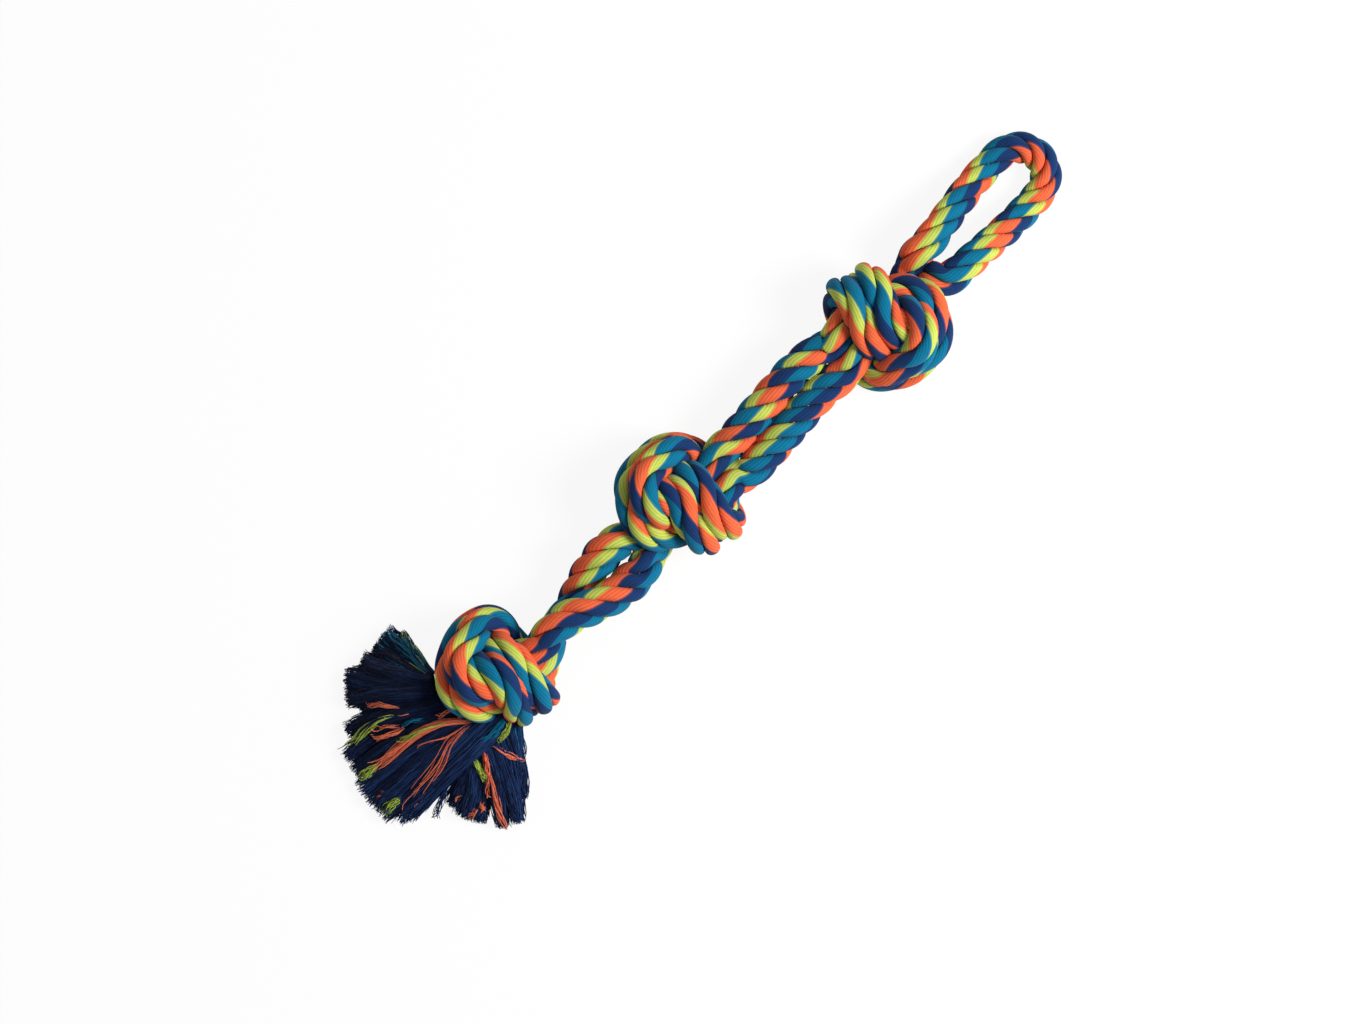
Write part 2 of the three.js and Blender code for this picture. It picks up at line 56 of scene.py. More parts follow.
camera_data = bpy.data.cameras.new("camera")
camera_data.lens = LENS
camera_data.sensor_width = SENSOR
camera = bpy.data.objects.new("camera", camera_data)
scene.collection.objects.link(camera)
height = VIEW_PLANE + FRAME_WIDTH * LENS / SENSOR
camera.matrix_world = Matrix((
    (IMAGE_RIGHT.x, IMAGE_UP.x, 0.0, VIEW_CENTRE[0]),
    (IMAGE_RIGHT.y, IMAGE_UP.y, 0.0, VIEW_CENTRE[1]),
    (IMAGE_RIGHT.z, IMAGE_UP.z, 1.0, height),
    (0.0, 0.0, 0.0, 1.0),
))
scene.camera = camera

MM = 0.001

# Rope: the same sizes and the same route as the solids, in metres
ROPE_RADIUS = 0.01075
PRESSED_DIAMETER = 0.0148
TOUCH_GAP = 0.0005
UNIT = PRESSED_DIAMETER + TOUCH_GAP
LEG_OFFSET = ROPE_RADIUS + TOUCH_GAP / 2
REST_CUT = 0.00215
UPPER_KNOT = (0.146, 0.026)
MIDDLE_KNOT = (-0.031, 0.016)
LOWER_KNOT = (-0.190, 0.007)
BEND_REACH = 0.051
SWING_REACH = 0.066
UPPER_SIDES = (180.0, 180.0)
LOWER_SIDES = (-90.0, 0.0)
LOWER_ASIDE = 0.004
LOWER_MOUTH = 0.0125
HANDLE_ASIDE = 0.006
HANDLE_MOUTH = 0.013
HANDLE_REACH = 0.103
HANDLE_WIDTH = 0.058
HANDLE_YAW = math.radians(8)
HANDLE_SPREAD = 0.060
HANDLE_DROP = 0.072
HANDLE_LEAD = ROPE_RADIUS + TOUCH_GAP

# Doubled overhand knot in pressed rope diameters: middle of the two legs, way to leg A
KNOT_ROUTE = np.array([
    [-3.4, 0, 0, 0, -1, 0],
    [-2.8, 0, 0, 0, -1, 0],
    [-1.9, 0, 0, 0, -1, 0],
    [-0.5, 0.05, 0, 0, -1, 0.2],
    [0.6, 0.25, 0.1, 0.2, -1, 0.2],
    [1.4, 0.25, 0.4, -0.4, -0.9, 0.3],
    [1.9, -0.15, 0.8, -0.8, -0.5, 0.4],
    [2, -0.8, 1, -1, -0.1, 0.3],
    [1.8, -1.5, 1.1, -0.9, 0.4, 0.3],
    [1.2, -2.1, 1.1, -0.5, 0.8, 0.3],
    [0.4, -2.4, 1, 0, 1, 0.4],
    [-0.5, -2.35, 0.8, 0.2, 0.9, 0.4],
    [-1.3, -1.95, 0.3, 0.5, 0.7, 0.5],
    [-1.7, -1.3, -0.5, 0.7, 0.4, 0.6],
    [-1.5, -0.5, -1.1, 0.9, 0, 0.4],
    [-1.1, 0.3, -1.2, 1, 0, 0.2],
    [-0.7, 1.1, -0.9, 1, 0, 0],
    [-0.45, 1.55, 0, 1, 0, 0],
    [-0.35, 1.2, 0.85, 1, 0, 0],
    [-0.35, 0.45, 1.15, 1, 0, 0],
    [-0.4, -0.4, 1.1, 1, 0, 0],
    [-0.35, -1.1, 0.7, 1, 0, 0],
    [-0.1, -1.55, 0.05, 0.9, 0.1, 0.4],
    [0.4, -1.5, -0.6, 0.7, 0.4, 0.6],
    [1.2, -1, -0.8, 0.3, 0.7, 0.6],
    [2.2, -0.4, -0.5, 0, 1, 0.2],
    [2.8, 0, 0, 0, 1, 0],
    [3.4, 0, 0, 0, 1, 0],
], float)
UPPER_KNOT_YAW = -30.0
MIDDLE_KNOT_YAW = -20.0
LOWER_KNOT_YAW = -30.0
LOWER_KNOT_ROLL = -20.0
FRAYED_ENDS = [
    ([2.45, 1.2, -0.3], [0.8, 0.6, 0]),
    ([2.3, -1.45, -0.2], [0.75, -0.66, 0]),
]
NODE_STEP = 0.3
NEIGHBOUR_LENGTH = 1.45
SEARCH_REACH = 1.9
PAIR_REACH = 1.15
GROW_STEPS = 150
TURN_STEP = 200
TIGHTEN_STEPS = 220
CLEAR_STEPS = 100
CLEAR_SHARE = 1.03
TENSION = 0.15
PAIR_PULL = 0.25
PUSH_SHARE = 0.6
ROUNDS = 4
REFRESH = 10
LEAD_NODES = 3
MOUTH_START = 2.3
MOUTH_LENGTH = 0.8
CORE_REACH = 1.6
LEAD_REACH = 2.9
CURVE_STEPS = 16


def run_of(points):
    steps = np.linalg.norm(np.diff(points, axis=0), axis=1)
    return np.concatenate([[0.0], np.cumsum(steps)])


def spread(points, count):
    run = run_of(points)
    at = np.linspace(0, run[-1], count)
    return np.stack([np.interp(at, run, points[:, i]) for i in range(3)], axis=1)


def catmull(points):
    ends = np.vstack([2 * points[0] - points[1], points, 2 * points[-1] - points[-2]])
    t = (np.arange(CURVE_STEPS) / CURVE_STEPS)[:, None]
    out = []
    for a, b, c, d in zip(ends, ends[1:], ends[2:], ends[3:]):
        out.append(0.5 * (2 * b + (c - a) * t + (2 * a - 5 * b + 4 * c - d) * t * t
                          + (3 * b - a - 3 * c + d) * t ** 3))
    return np.vstack(out + [points[-1:]])


def rope_size(x, frayed):
    """Rope radius in the knot, in pressed diameters: pressed inside, round again at the mouths."""
    full = ROPE_RADIUS / PRESSED_DIAMETER
    out = -x if frayed else np.abs(x)
    return 0.5 + (full - 0.5) * np.clip((out - MOUTH_START) / MOUTH_LENGTH, 0, 1)


def smoothstep(x, a, b):
    t = np.clip((x - a) / (b - a), 0, 1)
    return t * t * (3 - 2 * t)


def turn_core(leg, yaw):
    """Turns the core of a knot about the vertical. Its mouths stay where they are."""
    x, y, z = leg.T
    turn = math.radians(yaw) * (1 - smoothstep(np.hypot(x, y), CORE_REACH, LEAD_REACH))
    c, s = np.cos(turn), np.sin(turn)
    return np.stack([c * x - s * y, s * x + c * y, z], axis=1)


def tighten(start, ends, yaw, frayed):
    """Draws the two legs together while the rope swells, turns the core, then clears them."""
    legs = start
    skip = math.ceil(NEIGHBOUR_LENGTH / NODE_STEP)
    for step in range(TIGHTEN_STEPS + CLEAR_STEPS):
        clearing = step >= TIGHTEN_STEPS
        share = min(1.0, 0.5 + 0.5 * step / GROW_STEPS) * (CLEAR_SHARE if clearing else 1)
        if step == TURN_STEP:
            legs = [turn_core(leg, yaw) for leg in legs]
        if step % REFRESH == 0:
            count = int(math.floor(max(run_of(leg)[-1] for leg in legs) / NODE_STEP + 0.5)) + 1
            legs = [spread(leg, count) for leg in legs]
            for leg, (first, last) in zip(legs, ends):
                for k in range(LEAD_NODES):
                    leg[k] = first[0] - first[1] * k * NODE_STEP
                    leg[count - 1 - k] = last[0] - last[1] * k * NODE_STEP
            nodes = np.vstack(legs)
            gap = np.linalg.norm(nodes[:, None] - nodes[None], axis=2)
            i, j = np.triu_indices(2 * count, 1)
            keep = (gap[i, j] < SEARCH_REACH) & (((i < count) != (j < count)) | (j - i > skip))
            i, j = i[keep], j[keep]
            place = np.arange(2 * count) % count
            free = (place >= LEAD_NODES) & (place < count - LEAD_NODES)
        if not clearing:
            for leg in (nodes[:count], nodes[count:]):
                middle = 0.5 * (leg[:-2] + leg[2:])
                drawn = leg[1:-1] + (middle - leg[1:-1]) * TENSION
                inner = slice(LEAD_NODES, count - LEAD_NODES)
                leg[inner] = drawn[LEAD_NODES - 1:count - LEAD_NODES - 1]
        for _ in range(ROUNDS):
            inner = slice(LEAD_NODES, count - LEAD_NODES)
            a, b = nodes[:count][inner], nodes[count:][inner]
            apart = b - a
            length = np.linalg.norm(apart, axis=1, keepdims=True)
            pull = np.maximum(length - PAIR_REACH, 0) * PAIR_PULL / length * apart
            a += pull
            b -= pull
            size = share * rope_size(nodes[:, 0], frayed)
            apart = nodes[i] - nodes[j]
            length = np.linalg.norm(apart, axis=1)
            need = size[i] + size[j]
            hit = length < need
            push = apart[hit] * ((need[hit] - length[hit]) / length[hit])[:, None]
            move = np.zeros_like(nodes)
            hits = np.zeros(2 * count)
            np.add.at(move, i[hit], push)
            np.add.at(move, j[hit], -push)
            np.add.at(hits, i[hit], 1)
            np.add.at(hits, j[hit], 1)
            moved = free & (hits > 0)
            nodes[moved] += move[moved] * (PUSH_SHARE / hits[moved])[:, None]
        legs = [nodes[:count], nodes[count:]]
    return legs


def unit(v):
    v = np.array(v, float)
    return v / np.linalg.norm(v)


def mouth(x, side, offset=LEG_OFFSET, aside=0.0):
    out = np.array([math.copysign(1, x), 0, 0])
    at = np.array([x, aside / UNIT, 0])
    return [(at + np.array(side) * way * offset / UNIT, out) for way in (1, -1)]


FIRST = KNOT_ROUTE[0, 0]


def knot(place, yaw, entry, leave, turned=False, roll=0.0, frayed=False):
    c, s = math.cos(math.radians(roll)), math.sin(math.radians(roll))
    tilt = np.array([[1, 0, 0], [0, c, s], [0, -s, c]])
    middle = KNOT_ROUTE[:, :3] @ tilt
    way = KNOT_ROUTE[:, 3:] @ tilt
    way /= np.linalg.norm(way, axis=1, keepdims=True)
    start = [catmull(middle + way * side) for side in (0.5, -0.5)]
    legs = tighten(start, list(zip(entry, leave)), yaw, frayed)
    radii = [rope_size(leg[:, 0], frayed) * PRESSED_DIAMETER for leg in legs]
    legs = [leg * UNIT for leg in legs]
    if turned:
        legs = [leg[::-1] * np.array([-1, -1, 1]) for leg in legs[::-1]]
        radii = [r[::-1] for r in radii[::-1]]
    low = min((leg[:, 2] - r).min() for leg, r in zip(legs, radii))
    centre = np.array([place[0], place[1], -low - REST_CUT])
    return {"legs": [leg + centre for leg in legs], "radii": radii, "centre": centre}


SIDEWAYS = (0, 1, 0)
usual = mouth(FIRST, (0, -1, 0))
low_turn = math.radians(LOWER_SIDES[0])
upper_knot = knot(UPPER_KNOT, UPPER_KNOT_YAW, usual,
                  mouth(-FIRST, SIDEWAYS, HANDLE_MOUTH, HANDLE_ASIDE))
middle_knot = knot(MIDDLE_KNOT, MIDDLE_KNOT_YAW, usual,
                   mouth(-FIRST, SIDEWAYS, LOWER_MOUTH, LOWER_ASIDE), turned=True)
lower_knot = knot(LOWER_KNOT, LOWER_KNOT_YAW,
                  mouth(FIRST, (0, math.cos(low_turn), -math.sin(low_turn))),
                  [(np.array(at, float), unit(out)) for at, out in FRAYED_ENDS],
                  turned=True, roll=LOWER_KNOT_ROLL, frayed=True)

ALONG = np.array([1.0, 0, 0])
ASIDE = np.array([0, 1.0, 0])
upper_bend = middle_knot["centre"] + ALONG * BEND_REACH
upper_swing = upper_knot["centre"] - ALONG * SWING_REACH
handle_flop = upper_knot["centre"] + ALONG * BEND_REACH + ASIDE * HANDLE_ASIDE
lower_bend = middle_knot["centre"] - ALONG * BEND_REACH - ASIDE * LOWER_ASIDE
lower_swing = lower_knot["centre"] + ALONG * BEND_REACH
handle_ahead = np.array([math.cos(HANDLE_YAW), math.sin(HANDLE_YAW), 0])
handle_across = np.array([-math.sin(HANDLE_YAW), math.cos(HANDLE_YAW), 0])
UPPER_MOUTHS = (LEG_OFFSET, LEG_OFFSET)
LOWER_MOUTHS = (LEG_OFFSET, LOWER_MOUTH)
STRETCH_LEAD = 0.002
STRETCH_TAIL = 0.001
STRETCH_STEP = 0.003
LOOP_LEAD = 0.008
LOOP_STEP = 0.004
LOOP_TURN_POINTS = 17


def stretch(begin, finish, start, end, sides, mouths, leg):
    """Points of one leg between two knots. Its side turns about the pair from mouth to mouth."""
    x = np.arange(begin + STRETCH_LEAD, finish - STRETCH_TAIL, STRETCH_STEP)
    share = smoothstep(x, start[0], end[0])
    turn = np.radians(sides[0] + (sides[1] - sides[0]) * share) + leg * math.pi
    offset = mouths[0] + (mouths[1] - mouths[0]) * share
    middle = start + (end - start) * np.clip((x - start[0]) / (end[0] - start[0]), 0, 1)[:, None]
    y = middle[:, 1] + offset * np.cos(turn)
    z = middle[:, 2] + offset * np.sin(turn)
    return np.stack([x, y, z], axis=1)


def handle_points():
    """Points of the loop, from the mouth of leg A round its end to the mouth of leg B."""
    bend = HANDLE_WIDTH / 2 - ROPE_RADIUS
    straight = HANDLE_REACH - ROPE_RADIUS - bend
    along = np.arange(LOOP_LEAD, straight, LOOP_STEP)
    across = HANDLE_MOUTH + (bend - HANDLE_MOUTH) * smoothstep(along, -HANDLE_LEAD, HANDLE_SPREAD)
    turn = np.linspace(math.pi / 2, -math.pi / 2, LOOP_TURN_POINTS)
    u = np.concatenate([along, straight + bend * np.cos(turn), along[::-1]])
    v = np.concatenate([across, bend * np.sin(turn), -across[::-1]])
    points = handle_flop + u[:, None] * handle_ahead + v[:, None] * handle_across
    rest = ROPE_RADIUS - REST_CUT
    points[:, 2] = handle_flop[2] + (rest - handle_flop[2]) * smoothstep(u, 0, HANDLE_DROP)
    return points


def leg_route(leg):
    """Points and radii of one leg, from its frayed end up to the loop."""
    low, mid, up = (k["legs"][leg] for k in (lower_knot, middle_knot, upper_knot))
    lower = stretch(low[-1, 0], mid[0, 0], lower_swing, lower_bend, LOWER_SIDES, LOWER_MOUTHS, leg)
    upper = stretch(mid[-1, 0], up[0, 0], upper_bend, upper_swing, UPPER_SIDES, UPPER_MOUTHS, leg)
    sizes = [lower_knot["radii"][leg], np.full(len(lower), ROPE_RADIUS), middle_knot["radii"][leg],
             np.full(len(upper), ROPE_RADIUS), upper_knot["radii"][leg]]
    return [low, lower, mid, upper, up], sizes


# The whole rope, from the frayed end of leg A round the loop to the frayed end of leg B
route_a, sizes_a = leg_route(0)
route_b, sizes_b = leg_route(1)
loop = handle_points()
sections = route_a + [loop] + [p[::-1] for p in route_b[::-1]]
radii = sizes_a + [np.full(len(loop), ROPE_RADIUS)] + [r[::-1] for r in sizes_b[::-1]]
names = ["lower_knot_a", "lower_a", "middle_knot_a", "upper_a", "upper_knot_a", "handle",
         "upper_knot_b", "upper_b", "middle_knot_b", "lower_b", "lower_knot_b"]
tags = np.concatenate([np.full(len(p), i) for i, p in enumerate(sections)])

# Even, smooth line of the rope
STEP = 0.0014
LINE_SOFT = 3
fine = catmull(np.vstack(sections))
run = run_of(fine)
count = int(run[-1] / STEP)
line = spread(fine, count)
at = np.linspace(0, 1, count) * run[-1]
raw_at = run[::CURVE_STEPS]
size = np.interp(at, raw_at, np.concatenate(radii))
section = np.interp(at, raw_at, tags)


def soften(values, width):
    """Values along the rope, smoothed over about this many places."""
    half = 3 * width
    kernel = np.exp(-0.5 * (np.arange(-half, half + 1) / width) ** 2)
    kernel /= kernel.sum()
    ends = np.repeat(values[:1], half, 0), np.repeat(values[-1:], half, 0)
    padded = np.concatenate([ends[0], values, ends[1]])
    if values.ndim == 1:
        return np.convolve(padded, kernel, "valid")
    return np.stack([np.convolve(column, kernel, "valid") for column in padded.T], axis=1)


line = soften(line, LINE_SOFT)
run = run_of(line)
ahead = np.gradient(line, axis=0)
ahead /= np.linalg.norm(ahead, axis=1, keepdims=True)

# A frame that doesn't turn about the rope's own line
normal = np.zeros_like(line)
n = np.array([0.0, 0, 1])
for i, t in enumerate(ahead):
    n = n - t * (n @ t)
    n /= np.linalg.norm(n)
    normal[i] = n
across = np.cross(ahead, normal)

# Lay: short between the knots and in the loop, longer where the rope is pressed in a knot.
# A strand's own yarns turn the other way, so that its colours come round along it.
STRANDS = 4
QUARTER = math.pi / 2
LAY = 2.9
KNOT_LAY = 4.6
COLOUR_CYCLE = 0.062
KNOT_SWELL = 1.46
SWELL = {"lower_a": 1.08, "upper_a": 1.10, "handle": 0.96, "upper_b": 1.10, "lower_b": 1.10}
GROOVE = 0.28
PLUMPNESS = 2.1
STRAND_CORE = 0.05
PRESS_SOFT = 8
SIZE_SOFT = 6
PHASE_SOFT = 4
TURN_SPAN = (0.2, 0.8)
SOFT_FLOOR = 0.004
PLY_LENGTH = 0.028

# The rope is fuller where the two legs leave the middle knot for the lower one
MOUTH_SWELL = 0.09
MOUTH_PLACE = -0.086
MOUTH_REACH = 0.010

pressed = np.clip((ROPE_RADIUS - size) / (ROPE_RADIUS - PRESSED_DIAMETER / 2), 0, 1)
pressed = soften(pressed, PRESS_SOFT)
swell = soften(np.array([SWELL.get(names[round(v)], 1.0) for v in section]), PRESS_SOFT)
rope_d = 2 * soften(size, SIZE_SOFT) * (swell + (KNOT_SWELL - swell) * pressed)
rope_d *= 1 + MOUTH_SWELL * np.exp(-((line[:, 0] - MOUTH_PLACE) / MOUTH_REACH) ** 2)
groove = rope_d * GROOVE
lay = rope_d * (LAY + (KNOT_LAY - LAY) * pressed)


def summed(rate):
    """The rate summed up along the rope."""
    return np.concatenate([[0], np.cumsum(0.5 * (rate[1:] + rate[:-1]) * np.diff(run))])


facing = np.unwrap(np.arctan2(across[:, 2], normal[:, 2]))
base_phase = summed(2 * math.pi / lay)
colour_run = summed(2 * math.pi / lay + 2 * math.pi / COLOUR_CYCLE)

# Crests that face up between the knots and round the loop: place in millimetres, and the colour
# there, counted from 0 to 4 through the colours of a strand
COLOURS = ["coral", "lime", "teal", "navy"]
CRESTS = {
    "lower_a": [(-121, 20, 3.7), (-106, 22, 1.4), (-90, 24, 1.4), (-75, 25, 1.3)],
    "upper_a": [(9, 9, 1.9), (22.5, 10, 2.5), (37.5, 11, 2.05), (51.5, 12, 2.0), (65, 13, 3.1),
                (80, 15, 3.0), (96, 17, 2.9)],
    "handle": [(200, 47, 1.6), (217, 50, 2.0), (233, 53, 3.0), (251, 57, 2.05), (269, 61, 2.95),
               (284, 57, 4.0), (289, 45, 4.3), (282, 33, 4.2), (270, 27, 4.95), (257, 23, 2.0),
               (241, 21, 0.5), (226, 20, 1.05), (211, 19, 2.4)],
    "upper_b": [(90, 35, 1.0), (75.8, 34, 3.0), (59, 32, 0.5), (43.3, 30, 1.9),
                (27.5, 28, 4.0), (13, 27, 1.5)],
    "lower_b": [(-73, 5, 3.4), (-86.7, 4, 3.5), (-100, 5, 4.4), (-116, 6, 4.1), (-131.5, 7, 3.8)],
}


def indices(name):
    """Indices on the rope of one section."""
    return np.nonzero(np.abs(section - names.index(name)) <= 0.5)[0]


def crest_marks():
    """Index on the rope, laps of a quarter turn and colour of each crest, in order."""
    marks = []
    for name, crests in CRESTS.items():
        mine = np.nonzero(np.abs(section - names.index(name)) <= 1)[0]
        spots = []
        for x, y, colour in crests:
            off = line[mine, :2] - np.array([x, y]) * MM
            spots.append((int(mine[np.argmin((off ** 2).sum(axis=1))]), colour))
        spots.sort()
        if marks:
            here, before = spots[0][0], marks[-1][0]
            turned = base_phase[here] - base_phase[before] - facing[here] + facing[before]
            lap = marks[-1][1] + round(turned / QUARTER)
        else:
            lap = round((base_phase[spots[0][0]] - facing[spots[0][0]]) / QUARTER)
        marks += [(i, lap + n, colour) for n, (i, colour) in enumerate(spots)]
    return marks


marks = crest_marks()
spots = [i for i, _, _ in marks]
shift = [facing[i] + lap * QUARTER - base_phase[i] for i, lap, _ in marks]
phase = base_phase + soften(np.interp(run, run[spots], shift), PHASE_SOFT)


def colour_turn(k):
    """How far the colours of strand k are turned, along the whole rope."""
    mine = [(i, colour) for i, lap, colour in marks if (lap + k) % STRANDS == 0]
    want = np.unwrap([colour_run[i] - colour * QUARTER for i, colour in mine])
    at = run[[i for i, _ in mine]]
    share = np.interp(run, at, np.arange(len(at)))
    step = np.floor(share)
    return np.interp(step + smoothstep(share - step, *TURN_SPAN), np.arange(len(at)), want)


turns = [colour_turn(k) for k in range(STRANDS)]
COLUMNS = 32


def strand_rings(k, first, last):
    """Rings of one strand between two places on the rope: (rings, columns, 3)."""
    i = slice(first, last + 1)
    a = np.arange(COLUMNS)[None, :] / COLUMNS * 2 * math.pi
    a = a + (turns[k][i] - colour_run[i])[:, None]
    a = (a + math.pi) % (2 * math.pi) - math.pi
    out = np.abs(a) / QUARTER
    low, high = groove[i][:, None], 0.5 * rope_d[i][:, None]
    bulge = np.maximum(1 - np.minimum(out, 1) ** PLUMPNESS, 0) ** (1 / PLUMPNESS)
    crest = low + (high - low) * bulge
    core = rope_d[i][:, None] * STRAND_CORE
    radius = np.where(out <= 1, crest, core + (low - core) * (2 - out))
    angle = phase[i][:, None] + k * QUARTER
    angle = angle + 0.5 * QUARTER * np.sign(a) * np.minimum(out, 2 - out)
    rings = line[i][:, None] + radius[..., None] * (np.cos(angle)[..., None] * normal[i][:, None]
                                                    + np.sin(angle)[..., None] * across[i][:, None])
    z = rings[..., 2]
    flat = SOFT_FLOOR * np.exp((np.minimum(z, SOFT_FLOOR) - SOFT_FLOOR) / SOFT_FLOOR)
    rings[..., 2] = np.where(z < SOFT_FLOOR, flat, z)
    return rings


def mesh_object(name, points, quads, slots, uv, materials):
    """A smooth mesh in the scene, with a material for each face and its places in the yarn map."""
    mesh = bpy.data.meshes.new(name)
    mesh.vertices.add(len(points))
    mesh.vertices.foreach_set("co", points.astype(np.float32).ravel())
    mesh.loops.add(quads.size)
    mesh.loops.foreach_set("vertex_index", quads.astype(np.int32).ravel())
    mesh.polygons.add(len(quads))
    starts = np.arange(len(quads)) * quads.shape[1]
    mesh.polygons.foreach_set("loop_start", starts.astype(np.int32))
    for m in materials:
        mesh.materials.append(m)
    mesh.polygons.foreach_set("material_index", slots.astype(np.int32))
    mesh.polygons.foreach_set("use_smooth", np.ones(len(quads), bool))
    layer = mesh.uv_layers.new(name="yarn")
    layer.data.foreach_set("uv", uv.astype(np.float32).ravel())
    mesh.update(calc_edges=True)
    mesh.validate()
    obj = bpy.data.objects.new(name, mesh)
    scene.collection.objects.link(obj)
    return obj


def tube_faces(rings, columns, base):
    """Faces of an open tube whose first point has the number base."""
    i = np.arange(rings - 1)[:, None]
    j = np.arange(columns)[None, :]
    a = base + i * columns + j
    b = base + i * columns + (j + 1) % columns
    return np.stack([a, b, b + columns, a + columns], axis=2).reshape(-1, 4)


def rope_piece(name, first, last, materials):
    """One mesh of all strands between two places on the rope."""
    points, quads, uvs = [], [], []
    base = 0
    v = run[first:last + 1] / PLY_LENGTH
    u = np.arange(COLUMNS + 1) / COLUMNS
    for k in range(STRANDS):
        rings = strand_rings(k, first, last)
        n_rings = len(rings)
        points.append(rings.reshape(-1, 3))
        quads.append(tube_faces(n_rings, COLUMNS, base))
        base += n_rings * COLUMNS
        corners = [(u[:-1], v[:-1]), (u[1:], v[:-1]), (u[1:], v[1:]), (u[:-1], v[1:])]
        uv = [np.stack(np.broadcast_arrays(a[None], b[:, None]), axis=-1) for a, b in corners]
        uvs.append(np.stack(uv, axis=2).reshape(-1, 2))
    quads = np.vstack(quads)
    slots = np.zeros(len(quads))
    return mesh_object(name, np.vstack(points), quads, slots, np.vstack(uvs), materials)


# Materials
ROUGHNESS = 0.9
SPECULAR = 0.15
SHEEN = 0.05
SHEEN_ROUGHNESS = 0.5
PLY_SCALE = 5.4
PLY_DISTORTION = 1.6
PLY_DETAIL = 2
PLY_DETAIL_SCALE = 3
DYE_SCALE = 160
DYE_DETAIL = 5
DYE_SHARE = 0.45
BUMP_STRENGTH = 0.4
BUMP_DISTANCE = 0.0004
TEXTURE_RANGE = (0.2, 0.8)
BORDER_FRAY = 0.03


def linear(colour):
    """A colour of 0 to 255 in linear light."""
    return [((c / 255 + 0.055) / 1.055) ** 2.4 if c > 10 else c / 255 / 12.92 for c in colour]


def yarn_shader(name):
    """A matt cotton material with its shader, fine plies along the strand and uneven dye."""
    m = bpy.data.materials.new(name)
    m.use_nodes = True
    nodes, links = m.node_tree.nodes, m.node_tree.links
    shader = nodes["Principled BSDF"]
    shader.inputs["Roughness"].default_value = ROUGHNESS
    shader.inputs["Specular IOR Level"].default_value = SPECULAR
    shader.inputs["Sheen Weight"].default_value = SHEEN
    shader.inputs["Sheen Roughness"].default_value = SHEEN_ROUGHNESS
    uv = nodes.new("ShaderNodeUVMap")
    uv.uv_map = "yarn"
    ply = nodes.new("ShaderNodeTexWave")
    ply.wave_type = "BANDS"
    ply.bands_direction = "X"
    ply.inputs["Scale"].default_value = PLY_SCALE
    ply.inputs["Distortion"].default_value = PLY_DISTORTION
    ply.inputs["Detail"].default_value = PLY_DETAIL
    ply.inputs["Detail Scale"].default_value = PLY_DETAIL_SCALE
    links.new(uv.outputs["UV"], ply.inputs["Vector"])
    place = nodes.new("ShaderNodeTexCoord")
    dye = nodes.new("ShaderNodeTexNoise")
    dye.inputs["Scale"].default_value = DYE_SCALE
    dye.inputs["Detail"].default_value = DYE_DETAIL
    links.new(place.outputs["Object"], dye.inputs["Vector"])
    blend = nodes.new("ShaderNodeMix")
    blend.inputs["Factor"].default_value = DYE_SHARE
    links.new(ply.outputs["Fac"], blend.inputs["A"])
    links.new(dye.outputs["Fac"], blend.inputs["B"])
    bump = nodes.new("ShaderNodeBump")
    bump.inputs["Strength"].default_value = BUMP_STRENGTH
    bump.inputs["Distance"].default_value = BUMP_DISTANCE
    links.new(blend.outputs["Result"], bump.inputs["Height"])
    links.new(bump.outputs["Normal"], shader.inputs["Normal"])
    return m, nodes, links, shader, uv, dye, blend


ROPE_COLOURS = {
    "coral": (230, 100, 61),
    "lime": (186, 200, 88),
    "teal": (2, 107, 142),
    "navy": (18, 50, 98),
}
BORDER = 0.02
COLOUR_ENDS = [0.28, 0.46, 0.74, 1.0]
SHADE = (0.8, 1.15)


